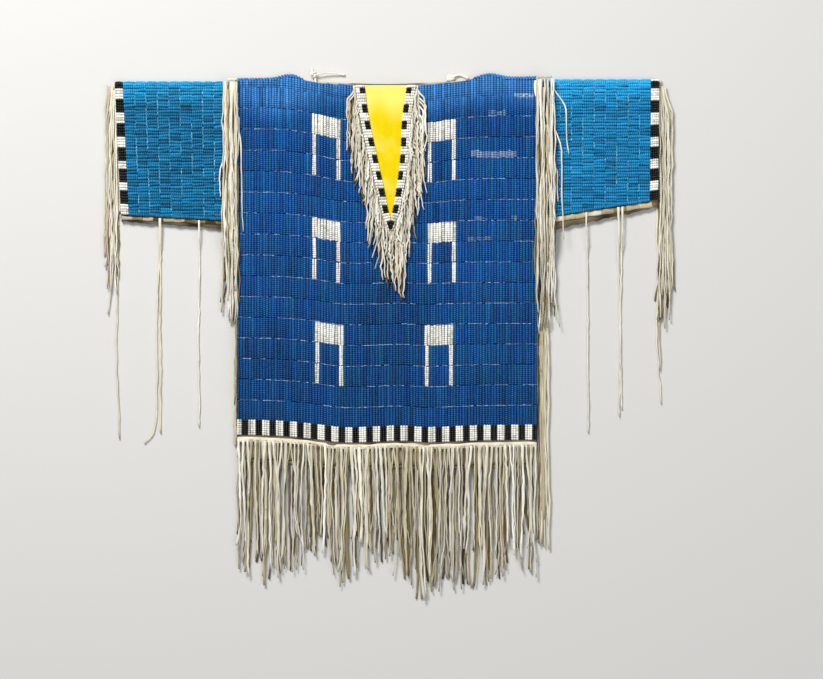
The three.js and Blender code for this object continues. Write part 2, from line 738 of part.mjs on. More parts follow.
// The shoulder ties: on one side a knot with a stub above it and a short tail, on the other a flat loop.
function knottedTie({ x, y, stub, tail }) {
  const knot = new THREE.IcosahedronGeometry(1, 1);
  knot.deleteAttribute("normal");
  knot.deleteAttribute("uv");
  const round = mergeVertices(knot.scale(3, 2.6, 2.4).translate(x, y, 3), 1e-4);
  const up = [
    { x, y, z: 2.4, width: 2.4 },
    { x: x - 0.8, y: stub, z: 1.4, width: 1.6 },
  ];
  const out = [
    { x, y, z: 2.4, width: 2 },
    { x: lerp(x, tail, 0.5), y: y + 1.4, z: 1.6, width: 2 },
    { x: tail, y: y - 0.6, z: FLOOR_CLEAR, width: 1.4 },
  ];
  return joined([round, strand(up), strand(out, STRAND_THICK, [0, 1])]);
}

function loopTie({ from, to, y, rise }) {
  const shares = steps(0, 1, 5);
  const height = (share) => y + rise * Math.sin(Math.PI * share);
  const at = (share) => ({ x: lerp(from, to, share), y: height(share), z: FLOOR_CLEAR, width: THONG_WIDTH });
  return strand(shares.map(at), STRIP_THICK, [0, 1]);
}

piece("back_panel", "hide", backPanel());
piece("front_panel", "body_beads", frontPanel());
piece("hem_band", "band_beads", hemBand());
for (const [name, cut] of Object.entries(SLEEVES)) {
  piece(`sleeve_${name}`, "sleeve_beads", sleeve(cut));
  piece(`cuff_band_${name}`, "band_beads", cuffBand(cut));
  piece(`sleeve_edge_${name}`, "hide", sleeveEdge(cut, THONGS[name]));
  piece(`cuff_fringe_${name}`, "fringe", cuffFringe(CUFF_FRINGE[name], cut));
  piece(`armhole_fringe_${name}`, "fringe", armholeFringe(ARMHOLE_FRINGE[name]));
  piece(`side_strip_${name}`, "hide", sideStrip(SIDE_STRIPS[name]));
}
piece("shoulder_tie_left", "hide", knottedTie(TIES.left));
piece("shoulder_tie_right", "hide", loopTie(TIES.right));
piece("bib", "yellow_hide", bib());
piece("bib_band", "band_beads", bibBand());
piece("bib_fringe", "fringe", bibFringe());
piece("hem_fringe_front", "fringe", hemFringe({ line: hemLine, lift: FRONT_INSIDE, ...HEM_FRINGE.front }));
piece("hem_fringe_back", "fringe", hemFringe({ line: backHem, lift: FLOOR_CLEAR, ...HEM_FRINGE.back }));

const box = new THREE.Box3().setFromObject(shirt);
shirt.position.set(-(box.min.x + box.max.x) / 2, -(box.min.y + box.max.y) / 2, -box.min.z);

export default shirt;
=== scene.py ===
"""A small child's beaded hide shirt, laid flat: the beads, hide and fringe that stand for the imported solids.

Sizes are in millimetres from the middle of the body's shoulder line, with +X to the right as the front is
looked at, +Y towards the shoulders and +Z up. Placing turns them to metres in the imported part's frame.
"""
import logging
from dataclasses import dataclass, field
from enum import Enum
from functools import partial
from math import acos, atan2, ceil, pi
from typing import Callable

import bpy
import numpy as np
from numpy.random import Generator, default_rng
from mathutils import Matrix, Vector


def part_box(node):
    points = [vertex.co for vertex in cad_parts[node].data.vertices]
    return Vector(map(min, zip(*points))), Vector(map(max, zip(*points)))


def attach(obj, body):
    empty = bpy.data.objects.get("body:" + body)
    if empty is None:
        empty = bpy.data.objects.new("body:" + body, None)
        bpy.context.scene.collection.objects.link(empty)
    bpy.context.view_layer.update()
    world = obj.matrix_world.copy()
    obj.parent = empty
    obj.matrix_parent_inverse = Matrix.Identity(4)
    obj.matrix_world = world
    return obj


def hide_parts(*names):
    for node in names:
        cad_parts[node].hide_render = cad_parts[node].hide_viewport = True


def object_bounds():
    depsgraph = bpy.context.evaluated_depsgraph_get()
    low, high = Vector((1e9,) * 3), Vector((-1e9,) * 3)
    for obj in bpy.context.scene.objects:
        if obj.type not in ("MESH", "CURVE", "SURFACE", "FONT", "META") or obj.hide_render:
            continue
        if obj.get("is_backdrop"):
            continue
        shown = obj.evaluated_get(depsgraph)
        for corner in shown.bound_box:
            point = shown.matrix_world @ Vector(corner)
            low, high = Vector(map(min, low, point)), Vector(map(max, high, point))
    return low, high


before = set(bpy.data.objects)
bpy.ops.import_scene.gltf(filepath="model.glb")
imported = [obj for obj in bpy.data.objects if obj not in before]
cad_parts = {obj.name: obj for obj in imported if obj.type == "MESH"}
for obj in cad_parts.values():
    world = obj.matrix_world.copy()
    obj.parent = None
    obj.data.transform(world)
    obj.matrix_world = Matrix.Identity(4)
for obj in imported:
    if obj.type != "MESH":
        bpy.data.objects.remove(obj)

LOG = logging.getLogger("shirt")
START_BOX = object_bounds()
Array = np.ndarray
Material = bpy.types.Material
Node = bpy.types.Node
Piece = bpy.types.Object
Tree = bpy.types.NodeTree
Row = tuple[float, ...]
Rows = tuple[Row, ...]
Adder = Callable[..., Node]
Height = Callable[[Array, Array, Array], Array]
UPWARDS = np.array([0.0, 0.0, 1.0])

# Driving sizes, the same as the solids'
BODY_HALF = 120.0
LANE_PITCH = 16.8
LANE_COUNT = 16
LANE_TOP = -1.6
HEM_DEPTH = 16.2
BACK_EXTRA = 14.0
SLEEVE_PITCH = 9.1
SLEEVE_LANES = 10
CUFF_BAND = 6.6
HIDE = 1.5
BEAD_CREST = 2.0
BEAD_VALLEY = 0.7
BAND_RISE = 1.5
BACK_WALL = 3.0
GAP = 0.3
FRONT_INSIDE = BACK_WALL + GAP
OVER_BEADS = HIDE + BEAD_CREST + 0.45
FOLD_INSIDE = GAP / 2
SLEEVE_START = BODY_HALF + GAP
CUFF_START = SLEEVE_START + SLEEVE_LANES * SLEEVE_PITCH
SLEEVE_END = CUFF_START + CUFF_BAND
SHOULDER_ROLL = 1.5
SINK = 24.0
BIB_TIP = -121.0
BIB_TOP = -3.0

# A common seed bead: its width across the string, and its length along it
BEAD_WIDTH = 2.3
BEAD_LENGTH = 1.68
COLUMNS = 104
COLUMN_PITCH = 2 * BODY_HALF / COLUMNS


def smooth(share: Array) -> Array:
    """Eases from 0 to 1: three times the square less twice the cube of the share, held between 0 and 1."""
    held = np.clip(share, 0.0, 1.0)
    return held * held * (3.0 - 2.0 * held)


def blend(first: Array, last: Array, share: Array) -> Array:
    """The first value plus the share of the way to the last."""
    return first + (last - first) * share


def xyz(x: Array | float, y: Array | float, z: Array | float) -> Array:
    """Points from their coordinates, each for all points or one for each."""
    return np.stack(np.broadcast_arrays(x, y, z), axis=-1)


def linear(code: str) -> Array:
    """Turns an sRGB hex value to linear red, green and blue.

    Args:
        code: six hex digits after a hash sign.

    Returns:
        Three values from 0 to 1: a part up to 0.04045 over 12.92, and the power of 2.4 above.
    """
    parts = np.array([int(code[i:i + 2], 16) for i in (1, 3, 5)]) / 255.0
    return np.where(parts <= 0.04045, parts / 12.92, ((parts + 0.055) / 1.055) ** 2.4)


class Side(Enum):
    """The two sides of the shirt, as the sign of X there."""

    LEFT = -1
    RIGHT = 1

    @property
    def word(self) -> str:
        """The side's name in lower case, as in the nodes' names."""
        return self.name.lower()


class Colour(Enum):
    """Named colours, as sRGB hex."""

    @property
    def linear(self) -> Array:
        """The colour as linear red, green and blue."""
        return linear(self.value)


class Glass(Colour):
    """Colours of the opaque glass beads, as sRGB hex."""

    COBALT = "#064a91"
    SEA = "#0a5a8c"
    # Painted light: the lighter blue that the front's beads blend to near the shoulders.
    LIT_NEAR_SHOULDER = "#3f85c6"
    PALE = "#a9bcd2"
    DEEP = "#065378"
    TURQUOISE = "#0c719e"
    # Also the painted light that the sleeves' strings near the fold blend to.
    SKY = "#1c93c4"
    WHITE = "#f1efe4"
    BLACK = "#100f0b"


class Tan(Colour):
    """Colours of cut hide, as sRGB hex."""

    IVORY = "#eeeadc"
    CREAM = "#dcd5bd"
    BUFF = "#c3b592"
    GREY = "#b5ad9a"
    OLIVE = "#938459"
    BROWN = "#705d3a"
    UMBER = "#47391f"


@dataclass(frozen=True)
class Curve:
    """A smooth curve through rows of a place and a value."""

    at: Row
    value: Row

    def __call__(self, place: Array) -> Array:
        """Values along the curve: a cubic between two rows, with the slopes from row to row around them.

        Args:
            place: where the curve is read, held between its first and last rows.

        Returns:
            One value for each place.
        """
        x = np.asarray(self.at, float)
        y = np.asarray(self.value, float)
        slope = np.empty_like(y)
        slope[1:-1] = (y[2:] - y[:-2]) / (x[2:] - x[:-2])
        slope[0] = (y[1] - y[0]) / (x[1] - x[0])
        slope[-1] = (y[-1] - y[-2]) / (x[-1] - x[-2])
        place = np.asarray(place, float)
        i = np.clip(np.searchsorted(x, place, side="right") - 1, 0, len(x) - 2)
        width = x[i + 1] - x[i]
        t = np.clip((place - x[i]) / width, 0.0, 1.0)
        rest = 1.0 - t
        rising = y[i] * (1 + 2 * t) * rest**2 + slope[i] * width * t * rest**2
        return rising + y[i + 1] * (1 + 2 * rest) * t**2 - slope[i + 1] * width * rest * t**2


@dataclass
class Mesh:
    """Points, faces and values of a mesh, in millimetres, before it becomes an object."""

    points: Array
    quads: Array
    tris: Array = field(default_factory=lambda: np.zeros((0, 3), int))
    values: dict[str, Array] = field(default_factory=dict)
    quad_finish: Array | None = None

    def plus(self, *others: "Mesh") -> "Mesh":
        """This mesh and others as one, each one's faces numbered on from the points before it."""
        parts = (self, *others)
        first = np.cumsum([0] + [len(part.points) for part in parts])
        return Mesh(
            np.concatenate([part.points for part in parts]),
            np.concatenate([part.quads + at for part, at in zip(parts, first)]),
            np.concatenate([part.tris + at for part, at in zip(parts, first)]),
            {name: np.concatenate([part.values[name] for part in parts]) for name in self.values},
        )

    def volume(self) -> float:
        """The signed volume: a sixth of the sum of each triangle's corner products."""
        triangles = np.concatenate([self.quads[:, [0, 1, 2]], self.quads[:, [0, 2, 3]], self.tris])
        a, b, c = (self.points[triangles[:, i]] for i in range(3))
        return float(np.einsum("ij,ij->i", a, np.cross(b, c)).sum() / 6.0)

    def outwards(self) -> "Mesh":
        """The mesh with its faces turned to point out, which they do where the volume is above nothing."""
        if self.volume() < 0:
            self.quads = self.quads[:, ::-1]
            self.tris = self.tris[:, ::-1]
        return self


@dataclass(frozen=True)
class Placing:
    """Where the shoulder line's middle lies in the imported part's frame, in metres."""

    x: float
    y: float

    @classmethod
    def from_frame(cls) -> "Placing":
        """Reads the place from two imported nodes: the back's left side, and the lowest point of the bib."""
        back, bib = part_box("back_panel")[0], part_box("bib")[0]
        return cls(back.x + BODY_HALF / 1000, bib.y - BIB_TIP / 1000)

    def metres(self, points: Array) -> Array:
        """Millimetres from the shoulder line turned to metres in the frame."""
        return points / 1000.0 + np.array([self.x, self.y, 0.0])


def wall(outer: Array, inner: Array, values: dict[str, Array] | None = None) -> Mesh:
    """A closed wall between two grids of points of the same size.

    Args:
        outer: points of the outer skin, (across, up, 3).
        inner: points of the inner skin, (across, up, 3).
        values: for each name a value for each outer point, which the inner skin has as nothing.

    Returns:
        Each grid cell as a quad on both skins, and a strip of quads along each of the four edges.
    """
    across, up = outer.shape[:2]
    number = np.arange(across * up).reshape(across, up)
    corners = (number[:-1, :-1], number[1:, :-1], number[1:, 1:], number[:-1, 1:])
    skin = np.stack([c.ravel() for c in corners], axis=1)
    rim = np.concatenate([number[:, 0], number[-1, 1:], number[-2::-1, -1], number[0, -2:0:-1]])
    after = np.roll(rim, -1)
    total = across * up
    edge = np.stack([after, rim, rim + total, after + total], axis=1)
    quads = np.concatenate([skin, skin[:, ::-1] + total, edge])
    points = np.concatenate([outer.reshape(-1, 3), inner.reshape(-1, 3)])
    stored = {name: np.concatenate([v.ravel(), np.zeros(total)]) for name, v in (values or {}).items()}
    return Mesh(points, quads, values=stored).outwards()


def tinted(first: Array, last: Array, share: Array, light: Array) -> Array:
    """Colours between two, made lighter or darker: the mix times one plus the light, with full alpha."""
    mix = blend(first, last, share[..., None]) * (1.0 + light[..., None])
    return np.concatenate([np.clip(mix, 0.0, 1.0), np.ones(mix.shape[:-1] + (1,))], axis=-1)


@dataclass
class Beads:
    """Strung beads: each has a centre, the string's direction, the way up, sizes and a colour."""

    centre: Array
    string: Array
    above: Array
    half: Array
    radius: Array
    colour: Array

    ALONG = np.array([-0.97, 0.0, 0.97])
    SWELL = np.array([0.9, 1.0, 0.9])
    ARC = np.radians([-104.0, -50.0, 0.0, 50.0, 104.0])

    def mesh(self) -> Mesh:
        """Each bead as three rings of five points round the top of its string, closed below and at its ends.

        Returns:
            One mesh with colours. A point is the centre, plus the string's direction times the ring's place
            and the half length, plus the ring's radius times its angle's sine aside and cosine up.
        """
        string = self.string / np.linalg.norm(self.string, axis=1, keepdims=True)
        above = self.above - string * np.einsum("ij,ij->i", self.above, string)[:, None]
        above /= np.linalg.norm(above, axis=1, keepdims=True)
        aside = np.cross(string, above)
        ring = self.half[:, None] * self.ALONG
        size = self.radius[:, None] * self.SWELL
        sine = size[:, :, None, None] * np.sin(self.ARC)[:, None] * aside[:, None, None, :]
        cosine = size[:, :, None, None] * np.cos(self.ARC)[:, None] * above[:, None, None, :]
        middle = self.centre[:, None, :] + ring[:, :, None] * string[:, None, :]
        points = (middle[:, :, None, :] + sine + cosine).reshape(-1, 3)
        near = np.arange(4)
        first = near[:, None] + np.array([0, 5])[None, :]
        sides = np.stack([first, first + 1, first + 6, first + 5], axis=-1).reshape(-1, 4)
        below = np.array([[4, 0, 5, 9], [9, 5, 10, 14]])
        ends = np.array([[0, 3, 2, 1], [10, 11, 12, 13]])
        corners = np.array([[0, 4, 3], [10, 13, 14]])
        count = len(self.centre)
        number = 15 * np.arange(count)[:, None, None]
        quads = (number + np.concatenate([sides, below, ends])).reshape(-1, 4)
        tris = (number + corners).reshape(-1, 3)
        return Mesh(points, quads, tris, {"glass": np.repeat(self.colour, 15, axis=0)}).outwards()

    @classmethod
    def strung(cls, line: Array, radius: Array, colour: Array, above: Array = UPWARDS) -> "Beads":
        """Beads between the points of strings.

        Args:
            line: points along each string, (strings, beads + 1, 3).
            radius: each bead's radius, (strings, beads).
            colour: each bead's colour, (strings, beads, 4).
            above: the way up, (strings, beads, 3) or one for all.

        Returns:
            A bead midway between each two neighbouring points of a string.
        """
        step = line[:, 1:] - line[:, :-1]
        length = np.linalg.norm(step, axis=-1)
        return cls(
            (0.5 * (line[:, 1:] + line[:, :-1])).reshape(-1, 3),
            step.reshape(-1, 3),
            np.broadcast_to(above, step.shape).reshape(-1, 3),
            0.5 * length.ravel(),
            radius.ravel(),
            colour.reshape(-1, 4),
        )

    def kept(self, mask: Array) -> "Beads":
        """The beads that the mask keeps."""
        return Beads(self.centre[mask], self.string[mask], self.above[mask], self.half[mask],
                     self.radius[mask], self.colour[mask])


@dataclass
class Thongs:
    """Cut strands of hide, each a flat section with six corners carried along its path."""

    path: Array
    width: Array
    thick: float
    turn: Array
    tint: Array

    CORNERS = np.array([[-0.8, -1.0], [-1.0, 0.0], [-0.8, 1.0], [0.8, 1.0], [1.0, 0.0], [0.8, -1.0]])

    def mesh(self) -> Mesh:
        """All strands as one mesh.

        Returns:
            One mesh. A corner is the path's point, plus half the width aside and half the thickness up, both
            turned round the path. Each point has a colour and its place along and round the strand.
        """
        count, stations = self.path.shape[:2]
        ahead = np.gradient(self.path, axis=1)
        ahead /= np.linalg.norm(ahead, axis=-1, keepdims=True)
        aside = np.cross(ahead, UPWARDS)
        aside /= np.maximum(np.linalg.norm(aside, axis=-1, keepdims=True), 1e-6)
        up = np.cross(aside, ahead)
        sine, cosine = np.sin(self.turn)[..., None], np.cos(self.turn)[..., None]
        wide, tall = aside * cosine + up * sine, up * cosine - aside * sine
        half = 0.5 * self.width[..., None, None]
        points = self.path[:, :, None, :] + wide[:, :, None, :] * half * self.CORNERS[:, 0][:, None]
        points = points + tall[:, :, None, :] * (0.5 * self.thick) * self.CORNERS[:, 1][:, None]
        number = np.arange(count * stations * 6).reshape(count, stations, 6)
        a, b = number[:, :-1], np.roll(number, -1, axis=2)[:, :-1]
        c, d = np.roll(number, -1, axis=2)[:, 1:], number[:, 1:]
        sides = np.stack([a, b, c, d], axis=-1).reshape(-1, 4)
        first, last = number[:, 0], number[:, -1]
        ends = [first[:, [3, 2, 1, 0]], first[:, [5, 4, 3, 0]], last[:, [0, 1, 2, 3]], last[:, [0, 3, 4, 5]]]
        run = np.linalg.norm(np.diff(self.path, axis=1), axis=-1).cumsum(axis=1)
        run = np.concatenate([np.zeros((count, 1)), run], axis=1)
        grain = xyz(np.arange(6) / 6.0, run[:, :, None] / 10.0, 1.7 * np.arange(count)[:, None, None])
        tint = np.broadcast_to(self.tint[:, None, None, :], (count, stations, 6, 4))
        values = {"tint": tint.reshape(-1, 4), "run": grain.reshape(-1, 3)}
        return Mesh(points.reshape(-1, 3), np.concatenate([sides, *ends]), values=values).outwards()


def strip_of(path: tuple[Array | float, Array | float, Array | float], width: Array | float, thick: float,
             tint: Array, turn: Array | float = 0.0) -> Mesh:
    """One strip of hide along a path.

    Args:
        path: its X, Y and Z, each for all stations or one for each.
        width: its width, for all stations or for each.
        thick: its thickness.
        tint: its colour, (1, 4).
        turn: how far it is turned round its path.

    Returns:
        The strip as a thong of its own.
    """
    points = xyz(*path)[None]
    shape = points.shape[:2]
    return Thongs(points, np.broadcast_to(width, shape), thick, np.broadcast_to(turn, shape), tint).mesh()


def band_rise(edges: Array) -> Array:
    """The rise across a band: full in the middle and falling by the fourth power towards both edges."""
    return blend(BEAD_VALLEY, BAND_RISE, 1.0 - np.abs(2 * edges - 1) ** 4)


def pearl_and_jet(white: Array, light: Array) -> Array:
    """Colours of the white and black beads of a band.

    Args:
        white: true where a bead is white.
        light: how much lighter or darker than most each bead is.

    Returns:
        Colours with full alpha. The darker white beads are also a little yellowed.
    """
    pearl = tinted(Glass.WHITE.linear, linear("#b9b29c"), np.clip(-light * 3, 0, 1), light)
    jet = tinted(Glass.BLACK.linear, linear("#2a2822"), np.clip(light * 4, 0, 1), light)
    return np.where(white[..., None], pearl, jet)


def hide_tints(rng: Generator, shares: dict[Tan, float], count: int) -> Array:
    """Colours for strands: each a mix of two neighbours among the named shares, a little lighter or darker.

    Args:
        rng: the seeded generator.
        shares: how often each colour is taken.
        count: how many strands.

    Returns:
        Colours with full alpha, (count, 4).
    """
    colours = np.stack([tan.linear for tan in shares])
    odds = np.array(list(shares.values()))
    first = rng.choice(len(colours), count, p=odds / odds.sum())
    second = rng.choice(len(colours), count, p=odds / odds.sum())
    return tinted(colours[first], colours[second], rng.uniform(0, 0.4, count), rng.normal(0, 0.1, count))


def one_tint(seed: int, tan: Tan) -> Array:
    """The colour of a strip cut from one hide."""
    return hide_tints(default_rng(seed), {tan: 1.0}, 1)


@dataclass
class Fringe:
    """Strands that leave their roots, reach their own columns and hang down the table from there."""

    seed: int
    stations: int = 15
    run: float = 14.0
    sway: float = 0.7
    curl: float = 1.2
    thick: float = 0.7
    twist: float = 0.8
    kink: float = 0.22

    def hang(self, root_x: Array, root_y: Array, column: Array, end: Array, width: Array,
             height: Height, tint: Array, tail: Array | float = 0.0) -> Mesh:
        """Strands from their roots to their ends.

        Args:
            root_x: each root's X, (n,).
            root_y: each root's Y, (n,).
            column: the X that each strand hangs at, (n,).
            end: the Y of each strand's end, (n,).
            width: each strand's width, (n,).
            height: a function of X, Y and the way down from the root, giving the strand's middle height.
            tint: each strand's colour, (n, 4).
            tail: how far each strand's last part swings aside, besides its own curl.

        Returns:
            X eases from the root to the column, and sways by two sine waves that grow with the way down, with
            a small kink at each station. The last part curls aside by the sixth power of the share of the
            length. A strand on edge is raised until it stands on the table.
        """
        rng = default_rng(self.seed)
        count = len(column)
        share = np.linspace(0, 1, self.stations)[None, :]
        y = blend(root_y[:, None], end[:, None], share)
        down = root_y[:, None] - y
        phase = rng.uniform(0, 2 * pi, (2, count, 1))
        pace = rng.uniform(0.8, 1.25, (2, count, 1))
        grows = smooth(down / 45.0)
        slow = np.sin(down / (19.0 * pace[0]) + phase[0]) - np.sin(phase[0])
        quick = np.sin(down / (7.5 * pace[1]) + phase[1])
        curl = self.curl * rng.normal(0, 1, (count, 1)) * share**6
        swing = np.reshape(tail, (-1, 1)) * share**30
        x = blend(root_x[:, None], column[:, None], smooth(down / self.run))
        kinks = rng.normal(0, self.kink, (count, self.stations)) * smooth(down / 12.0)
        x = x + self.sway * grows * (slow + 0.35 * quick) + curl + swing + kinks
        lift = 0.12 * np.sin(down / 9.0 + phase[1]) * grows
        uneven = 1.0 + 0.14 * np.sin(down / (5.0 * pace[0]) + phase[1]) + rng.normal(0, 0.07, x.shape)
        wide = width[:, None] * uneven * (1.0 - 0.2 * share**5)
        turn = self.twist * (np.sin(down / (16.0 * pace[1]) + phase[0]) + 0.4 * quick) * grows
        needed = 0.5 * wide * np.abs(np.sin(turn)) + 0.5 * self.thick * np.abs(np.cos(turn)) + 0.05
        z = np.maximum(height(x, y, down) + lift, needed)
        return Thongs(xyz(x, y, z), wide, self.thick, turn, tint).mesh()


def in_layers(rng: Generator, layers: int, abreast: int, loose: float) -> tuple[Array, Array]:
    """Strands in layers.

    Args:
        rng: the seeded generator.
        layers: how many layers.
        abreast: how many strands a layer has.
        loose: how unevenly they are spread.

    Returns:
        Each strand's layer and its place across, from 0 to 1, every other layer half a step further on.
    """
    layer = np.repeat(np.arange(layers), abreast)
    place = (np.tile(np.arange(abreast) + 0.25, layers) + 0.5 * (layer % 2)) / abreast
    return layer, np.clip(place + rng.normal(0, loose, len(layer)), 0.0, 1.0)


@dataclass(frozen=True)
class BodyCut:
    """The cut of the body: where its lane lines lie, and how high its front stands."""

    places: Row = (-120, -85, -60, -37, -10, 10, 33, 56, 80, 120)
    first: Row = (2.6, 3, 6.5, 11.5, 14, 14.5, 14, 11, 9.2, 9)
    middle: Row = (2.4, 3, 5, 8.5, 8.5, 8, 9, 8, 8, 8)
    last: Row = (0.3, 1.4, 3.6, 6.4, 6, 5.2, 6.4, 5.6, 4.8, 4.4)
    edge_places: Row = (-120, -92, -77, -62, -28, 0, 28, 62, 82, 98, 120)
    edge_height: Row = (0, 0.6, 3.4, -0.4, -2.6, -3.2, -2.4, 0.2, 4, 1.4, 1.6)
    edge_roll: Row = (1, 1, 0.8, 0.2, 0.06, 0.06, 0.06, 0.2, 0.8, 1, 1)
    troughs: Rows = (
        (-84, 12, -118, -232, 0.6),
        (-66, 10, -6, -96, 0.9),
        (4, 14, -176, -292, 1.0),
        (62, 10, -20, -120, 0.7),
        (82, 14, -190, -286, 0.7),
    )
    full: float = 2.2
    ripple: float = 0.28

    def top(self, x: Array) -> Array:
        """The height of the top edge."""
        return Curve(self.edge_places, self.edge_height)(x)

    def roll(self, x: Array) -> Array:
        """How far the front rolls over the shoulder, from 0 to 1."""
        return Curve(self.edge_places, self.edge_roll)(x)

    def below(self, x: Array, line: Array) -> Array:
        """The height of a lane line: the top less a pitch a line and the sag, blended down the body."""
        halves = 2.0 * (line - 1.0) / (LANE_COUNT - 1)
        rows = [Curve(self.places, row)(x) for row in (self.first, self.middle, self.last)]
        upper = blend(rows[0], rows[1], halves)
        lower = blend(rows[1], rows[2], halves - 1.0)
        return LANE_TOP - line * LANE_PITCH - np.where(halves < 1.0, upper, lower)

    def line(self, x: Array, k: Array) -> Array:
        """The height of lane line k, where line 0 is the top edge and one past the last is the hem."""
        x, k = np.broadcast_arrays(np.asarray(x, float), np.asarray(k, float))
        held = self.below(x, np.clip(k, 1.0, LANE_COUNT))
        upper = blend(self.top(x), self.below(x, np.ones_like(x)), k)
        lower = held - HEM_DEPTH * (k - LANE_COUNT)
        return np.where(k < 1.0, upper, np.where(k > LANE_COUNT, lower, held))

    def hem(self, x: Array) -> Array:
        """The height of the front's hem."""
        return self.line(x, LANE_COUNT + 1.0)

    def swell(self, x: Array, y: Array) -> Array:
        """How far the front stands above flat: a soft swell less its troughs, which fade at both ends."""
        across = np.clip(1.0 - (x / BODY_HALF) ** 2, 0.0, 1.0) ** 0.6
        down = smooth((-y - 2.0) / 32.0) * blend(1.0, 0.35, smooth((-y - 200.0) / 90.0))
        sunk = sum(
            depth * np.exp(-(((x - at) / wide) ** 2)) * smooth((top - y) / 23.0) * smooth((y - low) / 23.0)
            for at, wide, top, low, depth in self.troughs
        )
        ripple = self.ripple * np.sin(x / 17.0 + y / 60.0) * np.cos(y / 31.0)
        return np.maximum(0.0, across * down * (self.full + ripple - sunk))

    def inside(self, x: Array, y: Array) -> Array:
        """The height of the front's inner face above the table."""
        return FRONT_INSIDE + self.swell(x, y)

    def on_beads(self, x: Array, y: Array) -> Array:
        """The height at which something lies on the front's beads."""
        return self.inside(x, y) + OVER_BEADS

    @staticmethod
    def rib(share: Array) -> Array:
        """The rise across a lane: full in the middle and falling by the cube towards both lines."""
        return blend(BEAD_VALLEY, BEAD_CREST, 1.0 - np.abs(2.0 * share - 1.0) ** 3)


@dataclass(frozen=True)
class SleeveCut:
    """The cut of one sleeve, folded along its top and open below."""

    side: Side
    top: float
    slant: float
    front_body: float
    front_cuff: float
    back_body: float
    back_cuff: float
    puff: float = 1.3

    def outwards(self, x: Array) -> Array:
        """The share of the way from the body to the cuff's end."""
        return np.clip((np.abs(x) - SLEEVE_START) / (SLEEVE_END - SLEEVE_START), 0.0, 1.0)

    def front(self, x: Array) -> Array:
        """The height of the front's lower edge."""
        return blend(self.front_body, self.front_cuff, self.outwards(x))

    def fold(self) -> float:
        """The height at which the fold begins."""
        return self.top - (FOLD_INSIDE + HIDE + BEAD_CREST)

    def point(self, x: Array, v: Array, thick: Array, under: float) -> Array:
        """Points of the folded sleeve.

        Args:
            x: the place along the arm.
            v: from 0 to 1 up the front, on to 2 over the fold and on to 3 down the back.
            thick: how far the point stands out from the inner face.
            under: the height above the table of the back.

        Returns:
            Points, with the fold a half circle whose radius eases from the front's to the back's.
        """
        x, v, thick = np.broadcast_arrays(*(np.asarray(value, float) for value in (x, v, thick)))
        out = self.outwards(x)
        front = self.front(x)
        back = blend(self.back_body, self.back_cuff, out)
        puffed = smooth((out - 0.13) / 0.32) * smooth((1.0 - out) / 0.3)
        puff = self.puff * puffed * np.sin(pi * np.minimum(v, 1.0))
        turn = np.clip(v - 1.0, 0.0, 1.0) * pi
        radius = FOLD_INSIDE + blend(thick, BACK_WALL - under, np.clip(v - 1.0, 0.0, 1.0))
        fold = self.fold()
        y = np.where(v <= 1.0, blend(front, fold, v), fold + radius * np.sin(turn))
        z = np.where(v <= 1.0, FRONT_INSIDE + puff + thick, BACK_WALL + FOLD_INSIDE + radius * np.cos(turn))
        y = np.where(v >= 2.0, blend(fold, back, v - 2.0), y)
        z = np.where(v >= 2.0, under, z)
        placed = x - self.side.value * self.slant * out * np.clip(y / front, 0.0, 1.1)
        return xyz(placed, y, z)


LEFT_SLEEVE = SleeveCut(Side.LEFT, 0.6, 5.0, -111.0, -106.0, -118.0, -111.5)
RIGHT_SLEEVE = SleeveCut(Side.RIGHT, 2.4, 1.0, -109.0, -94.0, -121.0, -100.0)


@dataclass(frozen=True)
class BibCut:
    """The outer edges of the bib, by height."""

    at: Row = (-121, -108, -90, -60, -30, -2)
    left: Row = (2.6, -2.9, -7.1, -14.6, -21.2, -25.4)
    right: Row = (3.2, 8.6, 12.6, 17.4, 19.2, 23.4)

    def edge(self, side: Side, y: Array) -> Array:
        """The X of one edge at a height."""
        return Curve(self.at, self.left if side is Side.LEFT else self.right)(y)


def add_node(tree: Tree, kind: str, inputs: dict | None = None, **settings) -> Node:
    """Adds a node with its settings and its links.

    Args:
        tree: the material's tree.
        kind: the node's type, without the word ShaderNode before it.
        inputs: for each socket, by name or number, a value, the socket that feeds it, or a node whose first
            output feeds it.
        settings: the node's own settings.

    Returns:
        The node.
    """
    node = tree.nodes.new("ShaderNode" + kind)
    for name, value in settings.items():
        setattr(node, name, value)
    for socket, value in (inputs or {}).items():
        if isinstance(value, Node):
            value = value.outputs[0]
        if isinstance(value, bpy.types.NodeSocket):
            tree.links.new(value, node.inputs[socket])
        else:
            node.inputs[socket].default_value = value
    return node


def shade(code: str) -> tuple[float, float, float, float]:
    """An sRGB hex value as a colour socket takes it."""
    return (*linear(code), 1.0)


@dataclass(frozen=True)
class Finish:
    """A finish, made as a material with nodes."""

    name: str

    def material(self) -> Material:
        """The finished material: its surface shader linked to its output."""
        made = bpy.data.materials.new(self.name)
        made.use_nodes = True
        tree = made.node_tree
        tree.nodes.clear()
        add = partial(add_node, tree)
        add("OutputMaterial", {"Surface": self.surface(add)})
        return made

    def surface(self, add: Adder) -> Node:
        """The surface shader, which each finish gives."""
        raise NotImplementedError


